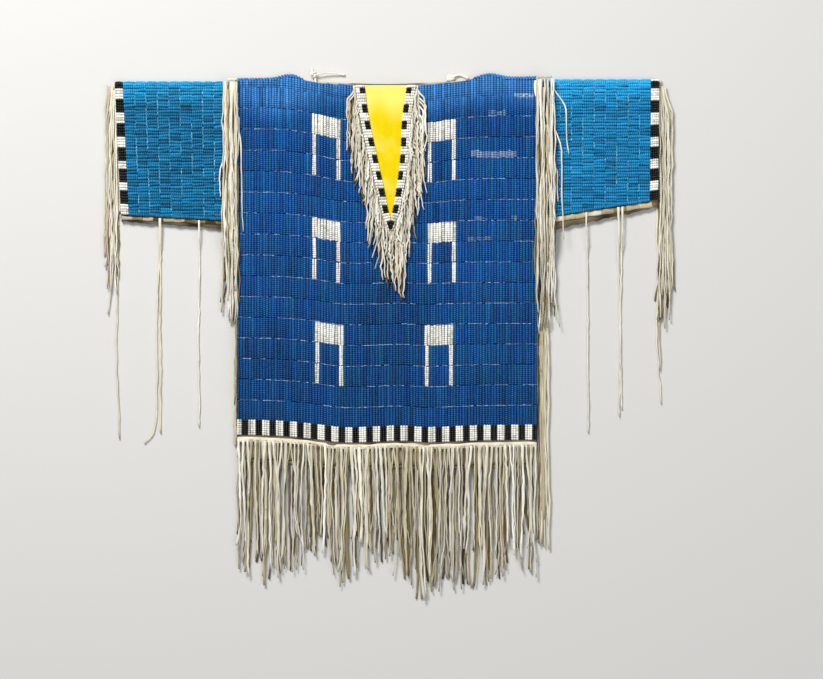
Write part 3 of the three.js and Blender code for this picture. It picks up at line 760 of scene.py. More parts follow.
@dataclass(frozen=True)
class SeedBeadGlass(Finish):
    """Opaque drawn glass, tumbled smooth: a satin gloss, with a film of handling."""

    name: str = "opaque seed bead glass"
    roughness: float = 0.34
    film: str = "#3a3326"

    def surface(self, add: Adder) -> Node:
        """The bead's own colour, clouded by a thin film, with a gloss that varies over a few millimetres."""
        own = add("Attribute", attribute_name="glass")
        where = add("TexCoord").outputs["Object"]
        cloud = add("TexNoise", {"Vector": where, "Scale": 90.0, "Detail": 3.0})
        amount = add("MapRange", {0: cloud, 1: 0.45, 2: 0.8, 3: 0.0, 4: 0.12})
        mixed = add("Mix", {0: amount, 6: own, 7: shade(self.film)}, data_type="RGBA")
        gloss = add("MapRange", {
            0: cloud, 1: 0.3, 2: 0.7, 3: self.roughness - 0.06, 4: self.roughness + 0.14})
        return add("BsdfPrincipled", {
            "Base Color": mixed.outputs[2], "Roughness": gloss, "IOR": 1.5,
            "Specular IOR Level": 0.28})


@dataclass(frozen=True)
class SewnHide(Finish):
    """Smoke-tanned hide: matt, with a fine nap, clouded tan, soil and painted shade, and painted shade under
    its beads.
    """

    name: str = "smoke tanned hide"
    light: str = "#d8caa6"
    dark: str = "#a8946b"
    # The brown that the hide is darkened to: partly its own soil, partly painted shade along edges that lie
    # under others.
    darkening: str = "#43351f"
    # Painted shade: the dark blue that the hide takes where beads are sewn on it, standing for the shade
    # between the beads.
    shade_under_beads: str = "#1a4680"

    def surface(self, add: Adder) -> Node:
        """Tan clouds some 20 mm across and a nap under 1 mm, darkened by a share for each point, and painted
        shade where beads are sewn.
        """
        where = add("TexCoord").outputs["Object"]
        cloud = add("TexNoise", {"Vector": where, "Scale": 48.0, "Detail": 5.0})
        nap = add("TexNoise", {"Vector": where, "Scale": 1400.0, "Detail": 3.0})
        tan = add("Mix", {0: cloud, 6: shade(self.dark), 7: shade(self.light)}, data_type="RGBA")
        darkened = add("Attribute", attribute_name="darkening").outputs["Fac"]
        aged = add("Mix", {0: darkened, 6: tan.outputs[2], 7: shade(self.darkening)}, data_type="RGBA")
        sewn = add("Attribute", attribute_name="sewn").outputs["Fac"]
        under = add("Mix", {0: sewn, 6: aged.outputs[2], 7: shade(self.shade_under_beads)}, data_type="RGBA")
        bump = add("Bump", {"Height": nap, "Strength": 0.35, "Distance": 0.0004})
        return add("BsdfPrincipled", {
            "Base Color": under.outputs[2], "Roughness": 0.9, "Specular IOR Level": 0.25,
            "Normal": bump})


@dataclass(frozen=True)
class PaintedHide(Finish):
    """Tanned hide rubbed with yellow pigment: matt and powdery, deeper where the pigment caught the nap."""

    name: str = "yellow rubbed hide"
    bright: str = "#ead209"
    deep: str = "#dcbc04"
    worn: str = "#f2e47a"
    bare: str = "#d9cfae"

    def surface(self, add: Adder) -> Node:
        """Streaks that run down the bib, pale worn patches, a paler top, and bare hide under the band's beads.
        """
        where = add("TexCoord").outputs["Object"]
        long = add("Mapping", {"Vector": where, "Scale": (260.0, 34.0, 60.0)})
        streak = add("TexNoise", {"Vector": long, "Scale": 1.0, "Detail": 4.0})
        patch = add("TexNoise", {"Vector": where, "Scale": 42.0, "Detail": 3.0})
        nap = add("TexNoise", {"Vector": where, "Scale": 1500.0, "Detail": 2.0})
        yellow = add("Mix", {0: streak, 6: shade(self.deep), 7: shade(self.bright)}, data_type="RGBA")
        pale = add("MapRange", {0: patch, 1: 0.56, 2: 0.8, 3: 0.0, 4: 0.5})
        # This share makes the yellow paler towards the top of the bib.
        rubbed = add("Attribute", attribute_name="rubbed").outputs["Fac"]
        share = add("Math", {0: pale, 1: rubbed}, operation="MAXIMUM")
        mixed = add("Mix", {0: share, 6: yellow.outputs[2], 7: shade(self.worn)}, data_type="RGBA")
        sewn = add("Attribute", attribute_name="sewn").outputs["Fac"]
        mixed = add("Mix", {0: sewn, 6: mixed.outputs[2], 7: shade(self.bare)}, data_type="RGBA")
        bump = add("Bump", {"Height": nap, "Strength": 0.25, "Distance": 0.0003})
        return add("BsdfPrincipled", {
            "Base Color": mixed.outputs[2], "Roughness": 0.86, "Specular IOR Level": 0.1,
            "Normal": bump})


@dataclass(frozen=True)
class CutHide(Finish):
    """Soft hide cut into thongs: matt, with streaks of dirt that darken each thong along its length."""

    name: str = "cut fringe hide"
    # The colour of the dirt that streaks the thongs.
    darkening: str = "#6d5f42"

    def surface(self, add: Adder) -> Node:
        """Each thong's own tint, with streaks that run along it and a nap across it."""
        tint = add("Attribute", attribute_name="tint")
        run = add("Attribute", attribute_name="run").outputs["Vector"]
        along = add("Mapping", {"Vector": run, "Scale": (5.0, 0.9, 1.0)})
        streak = add("TexNoise", {"Vector": along, "Scale": 1.0, "Detail": 4.0})
        darkened = add("MapRange", {0: streak, 1: 0.42, 2: 0.78, 3: 0.0, 4: 0.5})
        mixed = add("Mix", {0: darkened, 6: tint, 7: shade(self.darkening)}, data_type="RGBA")
        fine = add("Mapping", {"Vector": run, "Scale": (9.0, 7.0, 1.0)})
        nap = add("TexNoise", {"Vector": fine, "Scale": 2.0, "Detail": 3.0})
        bump = add("Bump", {"Height": nap, "Strength": 0.3, "Distance": 0.0003})
        return add("BsdfPrincipled", {
            "Base Color": mixed.outputs[2], "Roughness": 0.84, "Specular IOR Level": 0.3,
            "Normal": bump})


@dataclass(frozen=True)
class UnderBeads(Finish):
    """The beadwork of the side that lies on the table: rows of beads in lanes, as colour and bump."""

    name: str = "beadwork underneath"
    light: str = "#20609f"
    dark: str = "#123f80"
    thread: str = "#0b1730"
    upright: bool = False

    def surface(self, add: Adder) -> Node:
        """Beads 2.3 by 1.68 mm in a grid, in tones of their own, with a groove at each lane line."""
        where = add("TexCoord").outputs["Object"]
        turn = pi / 2 if self.upright else 0.0
        laid = add("Mapping", {
            "Vector": where, "Rotation": (0.0, 0.0, turn), "Scale": (250.0, 250.0, 250.0)})
        grid = add("TexBrick", {
            "Vector": laid, "Color1": shade(self.light), "Color2": shade(self.dark),
            "Mortar": shade(self.thread), "Scale": 1.0, "Mortar Size": 0.05, "Mortar Smooth": 0.6,
            "Brick Width": BEAD_WIDTH / 4.0, "Row Height": BEAD_LENGTH / 4.0}, offset=0.0)
        lane = add("TexBrick", {
            "Vector": laid, "Scale": 0.25, "Mortar Size": 0.03, "Mortar Smooth": 1.0,
            "Brick Width": 900.0, "Row Height": (SLEEVE_PITCH if self.upright else LANE_PITCH)}, offset=0.0)
        height = add("Math", {0: grid.outputs["Fac"], 1: lane.outputs["Fac"]}, operation="ADD")
        bump = add("Bump", {"Height": height, "Strength": 0.8, "Distance": 0.0008}, invert=True)
        return add("BsdfPrincipled", {
            "Base Color": grid, "Roughness": 0.4, "Normal": bump})


@dataclass(frozen=True)
class Floor(Finish):
    """A plain pale studio floor, matt and of one tone."""

    name: str = "pale floor"
    colour: str = "#d6d4cf"

    def surface(self, add: Adder) -> Node:
        """One pale tone."""
        return add("BsdfPrincipled", {
            "Base Color": shade(self.colour), "Roughness": 0.9, "Specular IOR Level": 0.2})


@dataclass
class Finishes:
    """Every material of the shirt, made once."""

    glass: Material = field(default_factory=lambda: SeedBeadGlass().material())
    hide: Material = field(default_factory=lambda: SewnHide().material())
    # The sleeves' hide has a dark teal painted shade under its beads.
    sleeve_hide: Material = field(
        default_factory=lambda: SewnHide("smoke tanned sleeve hide", shade_under_beads="#0f5474").material())
    yellow: Material = field(default_factory=lambda: PaintedHide().material())
    fringe: Material = field(default_factory=lambda: CutHide().material())
    under_body: Material = field(default_factory=lambda: UnderBeads().material())
    under_sleeve: Material = field(default_factory=lambda: UnderBeads(
        "sleeve beadwork underneath", "#2a92c4", "#17719f", "#082431", True).material())


@dataclass
class Workroom:
    """What every sub-assembly needs: the placing, the finishes and the cut of the body and the bib."""

    place: Placing
    finish: Finishes
    body: BodyCut = field(default_factory=BodyCut)
    bib: BibCut = field(default_factory=BibCut)

    def make(self, name: str, mesh: Mesh, *finishes: Material) -> Piece:
        """Builds an object from a mesh and puts it on the part's one body.

        Args:
            name: the piece's name.
            mesh: its points, faces and values.
            finishes: its materials. quad_finish says which of them each quad takes.

        Returns:
            The object, at the origin, riding on the body.
        """
        data = bpy.data.meshes.new(name)
        data.vertices.add(len(mesh.points))
        data.vertices.foreach_set("co", self.place.metres(mesh.points).astype(np.float32).ravel())
        loops = np.concatenate([mesh.quads.ravel(), mesh.tris.ravel()]).astype(np.int32)
        fours, threes = len(mesh.quads), len(mesh.tris)
        starts = np.concatenate([np.arange(fours) * 4, fours * 4 + np.arange(threes) * 3]).astype(np.int32)
        data.loops.add(len(loops))
        data.loops.foreach_set("vertex_index", loops)
        data.polygons.add(len(starts))
        data.polygons.foreach_set("loop_start", starts)
        data.polygons.foreach_set("use_smooth", np.ones(len(starts), bool))
        if mesh.quad_finish is not None:
            index = np.concatenate([mesh.quad_finish, np.zeros(threes, int)])
            data.polygons.foreach_set("material_index", index.astype(np.int32))
        for title, value in mesh.values.items():
            self._store(data, title, value)
        data.update(calc_edges=True)
        data.validate()
        for finish in finishes:
            data.materials.append(finish)
        piece = bpy.data.objects.new(name, data)
        bpy.context.scene.collection.objects.link(piece)
        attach(piece, "root")
        LOG.info("%s: %d triangles", name, 2 * fours + threes)
        return piece

    @staticmethod
    def _store(data: bpy.types.Mesh, title: str, value: Array) -> None:
        """Stores a value for each point: one number, a colour of four, or a vector of three."""
        if value.ndim == 1:
            data.attributes.new(title, "FLOAT", "POINT").data.foreach_set("value", value.astype(np.float32))
        elif value.shape[1] == 4:
            layer = data.color_attributes.new(title, "FLOAT_COLOR", "POINT")
            layer.data.foreach_set("color", value.astype(np.float32).ravel())
        else:
            layer = data.attributes.new(title, "FLOAT_VECTOR", "POINT")
            layer.data.foreach_set("vector", value.astype(np.float32).ravel())


@dataclass
class Motifs:
    """The white figures of the front, charted by lane and column: a block one lane high on two legs."""

    figures: Rows = (
        (1, 26, 35), (6, 26, 35), (11, 27, 36), (1, 66, 75), (6, 66, 75), (11, 65, 74))
    leg_lanes: int = 2

    def block(self, lane: Array, column: Array) -> Array:
        """True in the blocks: in a figure's lane, from its first column to its last."""
        here = np.zeros(np.broadcast(lane, column).shape, bool)
        for row, first, last in self.figures:
            here |= (lane == row) & (column >= first) & (column <= last)
        return here

    def legs(self, lane: Array, column: Array) -> tuple[Array, Array]:
        """The legs, two columns each.

        Args:
            lane: each string's lane.
            column: each string's column.

        Returns:
            True in the legs, and how far each of their strings leans out and towards the other.
        """
        here = np.zeros(np.broadcast(lane, column).shape, bool)
        lean = np.zeros(here.shape)
        for row, first, last in self.figures:
            rows = (lane > row) & (lane <= row + self.leg_lanes)
            for at, shift in ((first, -0.09), (first + 1, -0.75), (last - 1, 0.75), (last, 0.09)):
                mine = rows & (column == at)
                here |= mine
                lean = np.where(mine, shift, lean)
        return here, lean


@dataclass
class Body:
    """The front and the back, with the beads of the front and its hem band."""

    room: Workroom
    motifs: Motifs = field(default_factory=Motifs)
    seed: int = 41
    band_top: float = -0.7
    band_depth: float = 11.9
    band_white: float = 6.0
    band_black: float = 5.064
    band_start: float = -122.04
    beads_in_lane: int = 10
    radius: float = 1.26
    block_radius: float = 1.16
    leg_radius: float = 0.82
    part_radius: float = 1.24
    roll_radius: float = 1.2
    ground_depth: float = 1.25
    pale_runs: Rows = (
        (102.4, 118.6, -8.2, -12.3, 1.5),
        (67.2, 104.8, -55.2, -60.2, 0.75),
        (80.8, 94.4, -23.0, -26.6, 0.5),
        (70.4, 81.6, -108.0, -111.0, 0.4),
        (98.4, 103.6, -107.0, -109.6, 0.4),
        (65.6, 82.0, -124.0, -127.0, 0.4),
    )

    def rise(self, x: Array, k: Array) -> Array:
        """How far the beads stand above the hide at a place along the lanes, with a part lane at the top."""
        share = np.where(k < 1.0, self._top_share(x, k), k - np.floor(k + 1e-9))
        return self.room.body.rib(share)

    def _top_share(self, x: Array, k: Array) -> Array:
        """The share across the first lane or the part lane above it, for heights above the first line."""
        cut = self.room.body
        y = cut.line(x, k)
        first = cut.line(x, 1.0) + LANE_PITCH
        upper = (cut.top(x) - y) / np.maximum(cut.top(x) - first, 0.1)
        return np.where(y > first, np.clip(upper, 0, 1), np.clip((first - y) / LANE_PITCH, 0, 1))

    def front(self) -> Piece:
        """The front's hide: it follows the lanes below their beads and rolls over the shoulder."""
        cut = self.room.body
        x = np.linspace(-BODY_HALF, BODY_HALF, 97)[:, None]
        ribs = np.linspace(LANE_COUNT, 0, LANE_COUNT * 8 + 1)
        k = np.concatenate([LANE_COUNT + np.array([1, 0.86, 0.74, 0.69, 0.4, 0.06]), ribs])[None, :]
        x, k = np.broadcast_arrays(x, k)
        y = cut.line(x, k)
        sewn = (k < LANE_COUNT + 0.7).astype(float)
        depth = np.where(k > LANE_COUNT, 0.35, self.rise(x, k) - self.ground_depth)
        thick = HIDE + np.where(k > LANE_COUNT + 0.7, 0.0, depth)
        inside = cut.inside(x, y)
        outer = xyz(x, y, inside + thick)
        inner = xyz(x, y, inside)
        turn = (np.array([0.25, 0.5, 0.75, 1.0]) * cut.roll(x[:, :1])) * pi / 2
        over = [self._rolled(x[:, :1], turn, level) for level in (HIDE - 0.4, 0.0)]
        outer, inner = (np.concatenate([skin, more], axis=1) for skin, more in zip((outer, inner), over))
        sewn = np.concatenate([sewn, np.ones((len(x), 4))], axis=1)
        # Darker in patches along the bare strip below the hem band.
        darkening = np.clip(0.75 + 0.3 * np.sin(x[:, :1] / 6.1) * np.sin(x[:, :1] / 14.0), 0, 1) * (1.0 - sewn)
        mesh = wall(outer, inner, {"sewn": sewn, "darkening": darkening})
        return self.room.make("front_hide", mesh, self.room.finish.hide)

    def _rolled(self, x: Array, turn: Array, thick: Array) -> Array:
        """Points over the shoulder: a circle round a line below the top edge, turned by the given angles."""
        cut = self.room.body
        edge = cut.line(x, 0.0)
        radius = SHOULDER_ROLL + thick
        centre = cut.inside(x, edge) - SHOULDER_ROLL
        return xyz(x, edge + radius * np.sin(turn), centre + radius * np.cos(turn))

    def back(self) -> Piece:
        """The back: a flat panel, hide on top and beadwork underneath, that reaches lower than the front."""
        cut = self.room.body
        x = np.linspace(-BODY_HALF, BODY_HALF, 81)[:, None]
        v = np.linspace(0, 1, 60)[None, :]
        x, v = np.broadcast_arrays(x, v)
        low = cut.hem(x) - BACK_EXTRA + 0.5 * np.sin(x / 9.0) * np.sin(x / 3.7)
        top = cut.top(x) - GAP + 2.6 * (1.0 - cut.roll(x)) ** 3
        y = blend(low, top, v)
        ruck = 0.12 * np.sin(x / 6.3 + y / 11.0) * np.sin(y / 17.0) - 0.12
        # Darker over the lower half, and painted shade along the top edge behind the neck.
        darkening = 0.35 * (v < 0.5) + 0.8 * smooth((v - 0.9) / 0.1) * smooth((34.0 - np.abs(x)) / 8.0)
        mesh = wall(xyz(x, y, BACK_WALL + ruck), xyz(x, y, 0 * x),
                    {"sewn": np.zeros(x.shape), "darkening": darkening})
        mesh.quad_finish = (mesh.points[mesh.quads].max(axis=1)[:, 2] < 0.01).astype(int)
        return self.room.make("back_hide", mesh, self.room.finish.hide, self.room.finish.under_body)

    def lanes(self) -> list[Piece]:
        """The front's beads, strung down each lane in columns, as four pieces."""
        rng = default_rng(self.seed)
        beads, lane = self._full_lanes(rng)
        parts = [(0, 5), (5, 9), (9, 13), (13, LANE_COUNT)]
        made = []
        for number, (first, last) in enumerate(parts):
            mesh = beads.kept((lane >= first) & (lane < last)).mesh()
            if first == 0:
                mesh = mesh.plus(self._part_lane(rng).mesh(), self._shoulder(rng).mesh())
            if last == LANE_COUNT:
                mesh = mesh.plus(self._lit_stitches(rng).mesh())
            name = f"body_beads_{number + 1}"
            made.append(self.room.make(name, mesh, self.room.finish.glass))
        return made

    def _tones(self, rng: Generator, x: Array, y: Array) -> Array:
        """Blues of the body's beads.

        Args:
            rng: the seeded generator.
            x: each bead's X, with its string's beads along the last axis.
            y: each bead's Y.

        Returns:
            Two blues mixed by string, lighter or darker by string, by bead and in clouds some 20 mm wide,
            lighter near the shoulders as painted light, darker towards the hem and round the bib fringe's ends
            as painted shade, and paler in the listed patches.
        """
        per_string = x.shape[:-1] + (1,)
        light = rng.normal(0, 0.13, per_string) + rng.normal(0, 0.06, x.shape)
        light = light + 0.09 * np.sin(x / 23 + y / 31) * np.cos(y / 19 - x / 47)
        green = np.clip(rng.normal(0.35, 0.3, per_string) + rng.normal(0, 0.12, x.shape), 0, 1)
        colour = tinted(Glass.COBALT.linear, Glass.SEA.linear, green, light)
        # Painted light: near the shoulders the beads blend to a lighter blue, where light falls on the top of
        # the front.
        shoulder = smooth((y + 30.0 + 6.0 * np.sin(x / 19.0)) / 26.0)
        painted_light = np.clip(0.75 * shoulder + rng.normal(0, 0.12, per_string) * shoulder, 0, 1)[..., None]
        colour[..., :3] = blend(colour[..., :3], Glass.LIT_NEAR_SHOULDER.linear * (1 + light[..., None]), painted_light)
        down, out = -y[..., None], x[..., None]
        # Painted shade: the beads darken towards the hem, a little more on the left than on the right, with a
        # painted shadow in the middle round the ends of the bib's fringe.
        darker = 0.17 - 0.06 * np.clip(out / 60.0, -1.0, 1.0)
        colour[..., :3] *= 1.0 - darker * smooth((down - 120.0) / 120.0)
        colour[..., :3] *= 1.0 - 0.22 * np.exp(-((out + 5.0) / 24.0) ** 2 - ((down - 180.0) / 42.0) ** 2)
        for left, right, top, low, strength in self.pale_runs:
            inside = (x > left) & (x < right) & (y < top) & (y > low)
            patchy = strength * rng.uniform(0.3, 1.0, per_string) * rng.uniform(0.7, 1.0, x.shape)
            share = np.where(inside, np.minimum(patchy, 1.0), 0.0)[..., None]
            colour[..., :3] = blend(colour[..., :3], Glass.PALE.linear, share)
        return colour

    def _full_lanes(self, rng: Generator) -> tuple[Beads, Array]:
        """The beads of the 16 whole lanes, and the lane that each is in."""
        cut = self.room.body
        count = self.beads_in_lane
        lane = np.arange(LANE_COUNT)[:, None, None]
        column = np.arange(COLUMNS)[None, :, None]
        shape = (LANE_COUNT, COLUMNS, count)
        edges = np.linspace(0.018, 0.978, count + 1)
        leg, lean = self.motifs.legs(lane, column)
        block = self.motifs.block(lane, column)
        per_string = (LANE_COUNT, COLUMNS, 1)
        x = -BODY_HALF + (column + 0.5) * COLUMN_PITCH
        x = x + rng.normal(0, 0.1, per_string)
        x = x + rng.normal(0, 0.2, per_string) * (edges - 0.5)
        x = x + lean
        radius = np.where(leg, self.leg_radius, np.where(block, self.block_radius, self.radius))
        radius = radius * rng.normal(1.0, 0.03, shape)
        slip = rng.normal(0, 0.014, per_string)
        k = lane + np.clip(edges + slip, 0.008, 0.992)
        first = cut.line(x, 1.0) + LANE_PITCH
        y = np.where(lane == 0, first - (k - lane) * LANE_PITCH, cut.line(x, k))
        line = self._string(x, y, cut.rib(k - lane), radius.mean(axis=-1, keepdims=True))
        middle_x, middle_y = 0.5 * (x[..., 1:] + x[..., :-1]), 0.5 * (y[..., 1:] + y[..., :-1])
        colour = self._tones(rng, middle_x, middle_y)
        white = leg | block
        light = rng.normal(0, 0.06, per_string) + rng.normal(0, 0.05, shape)
        colour = np.where(white[..., None], pearl_and_jet(white, light), colour)
        flat = (LANE_COUNT * COLUMNS, count)
        beads = Beads.strung(line.reshape(flat[0], count + 1, 3), radius.reshape(flat),
                             colour.reshape(*flat, 4))
        return beads, np.repeat(np.arange(LANE_COUNT), COLUMNS * count)

    def _lit_stitches(self, rng: Generator) -> Beads:
        """The sinew between the lanes: short stitches from string to string, in broken runs, pale blue as
        painted highlights.
        """
        cut = self.room.body
        k = np.arange(1, LANE_COUNT)[:, None]
        x = -BODY_HALF + (np.arange(COLUMNS)[None, :] + 0.5) * COLUMN_PITCH + 0 * k
        run = np.sin(x / 17.0 + 2.7 * k) + 0.8 * np.sin(x / 7.1 + 5.1 * k) + 0.5 * np.sin(x / 41.0 - 1.3 * k)
        shown = (run > -0.55) & (rng.uniform(0, 1, x.shape) < 0.9)
        leg, _ = self.motifs.legs(k, np.arange(COLUMNS)[None, :])
        shown &= ~leg
        ends = x[..., None] + np.array([-1.1, 1.1])
        y = cut.line(ends, k[..., None]) + rng.normal(0, 0.12, ends.shape)
        z = cut.inside(ends, y) + HIDE + 1.05
        line = xyz(ends, y, z).reshape(-1, 2, 3)
        count = line.shape[0]
        # Painted highlight: the stitches run from mid blue to pale blue, standing for light along the lane
        # lines.
        colour = tinted(linear("#3570b4"), linear("#9dbbe0"), rng.uniform(0, 1, count) ** 1.4,
                        rng.normal(0, 0.1, count))[:, None]
        return Beads.strung(line, rng.uniform(0.24, 0.4, (count, 1)), colour).kept(shown.ravel())

    def _string(self, x: Array, y: Array, rise: Array, radius: Array) -> Array:
        """The strings' own lines: the crest's height less the bead's radius."""
        z = self.room.body.inside(x, y) + HIDE + rise - radius
        return xyz(x, y, z)

    def _part_lane(self, rng: Generator) -> Beads:
        """The part lane at the top of the front, with as many beads in a string as fit below the edge."""
        cut = self.room.body
        most = 10
        x = -BODY_HALF + (np.arange(COLUMNS)[:, None] + 0.5) * COLUMN_PITCH + rng.normal(0, 0.1, (COLUMNS, 1))
        x = np.repeat(x, most + 1, axis=1)
        first = cut.line(x, 1.0) + LANE_PITCH
        y = first + np.arange(most + 1) * BEAD_LENGTH
        length = np.maximum(cut.top(x) - first, 0.1)
        rise = blend(BEAD_VALLEY, 1.7, 1.0 - np.abs(2.0 * np.clip((y - first) / length, 0, 1) - 1.0) ** 3)
        line = self._string(x, y, rise, self.part_radius)
        shape = (COLUMNS, most)
        colour = self._tones(rng, x[:, 1:], y[:, 1:])
        beads = Beads.strung(line, self.part_radius * rng.normal(1, 0.03, shape), colour)
        fits = (0.5 * (y[:, 1:] + y[:, :-1]) < cut.top(x[:, 1:]) + 0.3).ravel()
        return beads.kept(fits)

    def _shoulder(self, rng: Generator) -> Beads:
        """The beads that roll over the shoulder, three on each string, where the front rolls far enough."""
        cut = self.room.body
        x = -BODY_HALF + (np.arange(COLUMNS)[:, None] + 0.5) * COLUMN_PITCH + rng.normal(0, 0.1, (COLUMNS, 1))
        roll = cut.roll(x)
        turn = np.array([0.08, 0.42, 0.76, 1.08]) * roll * pi / 2
        line = self._rolled(x, turn, HIDE - 0.35)
        middle = 0.5 * (turn[:, 1:] + turn[:, :-1])
        above = xyz(0.0, np.sin(middle), np.cos(middle))
        shape = (COLUMNS, 3)
        colour = self._tones(rng, line[:, 1:, 0], line[:, 1:, 1])
        beads = Beads.strung(line, np.full(shape, self.roll_radius), colour, above)
        return beads.kept(np.repeat(roll[:, 0] > 0.35, 3))

    def hem_band(self) -> Piece:
        """The hem's band: white and black blocks, three strings each, the white ones a little wider."""
        cut = self.room.body
        rng = default_rng(self.seed + 1)
        pair = self.band_white + self.band_black
        step = np.array([self.band_white] * 3 + [self.band_black] * 3) / 3.0
        steps = np.tile(step, ceil(2 * BODY_HALF / pair))
        centre = self.band_start + np.cumsum(steps) - 0.5 * steps
        white = np.tile([True] * 3 + [False] * 3, ceil(2 * BODY_HALF / pair))
        fits = np.abs(centre) < BODY_HALF - 0.9
        centre, white, steps = centre[fits], white[fits], steps[fits]
        count, beads = len(centre), 7
        edges = np.linspace(0, 1, beads + 1)
        x = centre[:, None] + rng.normal(0, 0.06, (count, 1)) + rng.normal(0, 0.1, (count, 1)) * (edges - 0.5)
        below = self.band_top + edges * self.band_depth + rng.normal(0, 0.1, (count, 1))
        k = LANE_COUNT + below / HEM_DEPTH
        y = cut.line(x, k)
        radius = 0.5 * steps[:, None] * rng.normal(0.99, 0.03, (count, beads))
        rise = 0.45 + band_rise(edges)
        line = self._string(x, y, rise, radius.mean(axis=1, keepdims=True))
        light = rng.normal(0, 0.07, (count, 1)) + rng.normal(0, 0.04, (count, beads))
        colour = pearl_and_jet(white[:, None], light)
        mesh = Beads.strung(line, 1.1 * radius, colour).mesh()
        return self.room.make("hem_band_beads", mesh, self.room.finish.glass)


@dataclass
class Sleeve:
    """One sleeve: its folded hide, the beads on its upright lanes, and the band round its cuff."""

    room: Workroom
    cut: SleeveCut
    seed: int
    whites: Rows
    bright: float = 0.0
    edge_wide: float = 2.9
    # The left edge's umber and brown parts are partly the hide's own brown and partly painted shade below the
    # sleeve's beads.
    edge_tans: tuple[Tan, ...] = (Tan.UMBER, Tan.BROWN, Tan.UMBER, Tan.OLIVE, Tan.BROWN, Tan.BUFF, Tan.BUFF,
                                  Tan.UMBER, Tan.GREY, Tan.OLIVE, Tan.GREY)
    beads_across: int = 6
    rows: int = 45
    row_pitch: float = 2.43
    fold_rows: Row = (1.13, 1.38, 1.63)
    radius: float = 1.42
    band_radius: float = 1.2
    ground_depth: float = 1.25

    def hide(self) -> Piece:
        """The folded hide, which follows the upright lanes a bead's depth below their crests."""
        side = self.cut.side.value
        over_lanes = np.linspace(0, SLEEVE_LANES, SLEEVE_LANES * 6 + 1) * SLEEVE_PITCH + SLEEVE_START
        along = np.concatenate([over_lanes, np.linspace(CUFF_START, SLEEVE_END, 6)[1:]])
        front, fold, back = (np.linspace(0, 1, count) for count in (25, 13, 17))
        up = np.concatenate([front, 1 + fold[1:], 2 + back[1:]])
        x, v = np.broadcast_arrays(side * along[:, None], up[None, :])
        lane = (np.abs(x) - SLEEVE_START) / SLEEVE_PITCH
        lanes = lane < SLEEVE_LANES - 1e-6
        rise = np.where(lanes, self.room.body.rib(lane - np.floor(lane)) - self.ground_depth, 0.1)
        outer = self.cut.point(x, v, HIDE + rise, 0.0)
        inner = self.cut.point(x, v, 0.0, BACK_WALL)
        ragged = 0.5 * np.sin(along / 2.9) * np.sin(along / 7.3) + 0.3 * np.sin(along / 1.3)
        for skin in (outer, inner):
            skin[:, -1, 1] += ragged
            skin[:, 0, 1] += 0.5 * ragged
        sewn = ((v > 0.004) & (v < 2.0)).astype(float)
        # The bare hide along the front's lower edge, the back below it and the inner skin is darkened: partly
        # the hide's own brown, partly painted shade below the sleeve's beads.
        darkening = np.clip(0.72 + 0.3 * np.sin(x / 5.3 + 2.0 * v) * np.sin(x / 13.0 + 1.0), 0, 1)
        mesh = wall(outer, inner, {"sewn": sewn, "darkening": (1.0 - sewn) * darkening})
        mesh.values["darkening"][darkening.size:] = darkening.ravel()
        low = mesh.points[mesh.quads].max(axis=1)[:, 2] < 0.01
        mesh.quad_finish = low.astype(int)
        finishes = [self.room.finish.sleeve_hide, self.room.finish.under_sleeve]
        return self.room.make(f"sleeve_hide_{self.cut.side.word}", mesh, *finishes)

    def _rows_up(self, rng: Generator, x: Array) -> Array:
        """How far up each string lies: level rows down the front, then three over the fold.

        Args:
            rng: the seeded generator.
            x: the place along the arm, (lanes, rows, places).

        Returns:
            The share of the way up the front, or 1 to 2 over the fold, and below 0 where a level row would
            lie past the front's slanting lower edge.
        """
        front, fold = self.cut.front(x[:, :self.rows]), self.cut.fold()
        shape = (SLEEVE_LANES, self.rows, 1)
        row = np.arange(self.rows)[None, :, None]
        level = fold - (row + 0.5) * self.row_pitch + rng.normal(0, 0.16, shape)
        tilt = rng.normal(0, 0.4, shape) * np.linspace(-0.5, 0.5, x.shape[2])
        over = np.broadcast_to(np.array(self.fold_rows)[None, :, None], x[:, self.rows:].shape)
        return np.concatenate([(level + tilt - front) / (fold - front), over], axis=1)

    def beads(self) -> Piece:
        """The sleeve's beads, strung across each upright lane in rows, on over the fold."""
        rng = default_rng(self.seed)
        side = self.cut.side.value
        rows = self.rows + len(self.fold_rows)
        edges = np.linspace(0.03, 0.97, self.beads_across + 1)
        share = np.clip(edges + rng.normal(0, 0.02, (SLEEVE_LANES, rows, 1)), 0.01, 0.99)
        lane = np.arange(SLEEVE_LANES)[:, None, None]
        x = side * (SLEEVE_START + (lane + share) * SLEEVE_PITCH)
        up = self._rows_up(rng, x)
        above_edge = (0.5 * (up[..., 1:] + up[..., :-1]) > -0.012).ravel()
        up = np.maximum(up, 0.008)
        line = self.cut.point(x, up, HIDE + self.room.body.rib(share) - self.radius, 0.0)
        turn = np.clip(0.5 * (up[..., 1:] + up[..., :-1]) - 1.0, 0.0, 1.0) * pi
        above = xyz(0.0, np.sin(turn), np.cos(turn))
        flat = (SLEEVE_LANES * rows, self.beads_across)
        colour = self._tones(rng, np.clip(0.5 * (up[..., 1:] + up[..., :-1]), 0, 1))
        strung = Beads.strung(line.reshape(flat[0], -1, 3), self.radius * rng.normal(1, 0.03, flat),
                              colour.reshape(*flat, 4), above.reshape(*flat, 3))
        name = f"sleeve_beads_{self.cut.side.word}"
        mesh = strung.kept(above_edge).mesh().plus(self._lit_stitches(rng).mesh())
        return self.room.make(name, mesh, self.room.finish.glass)

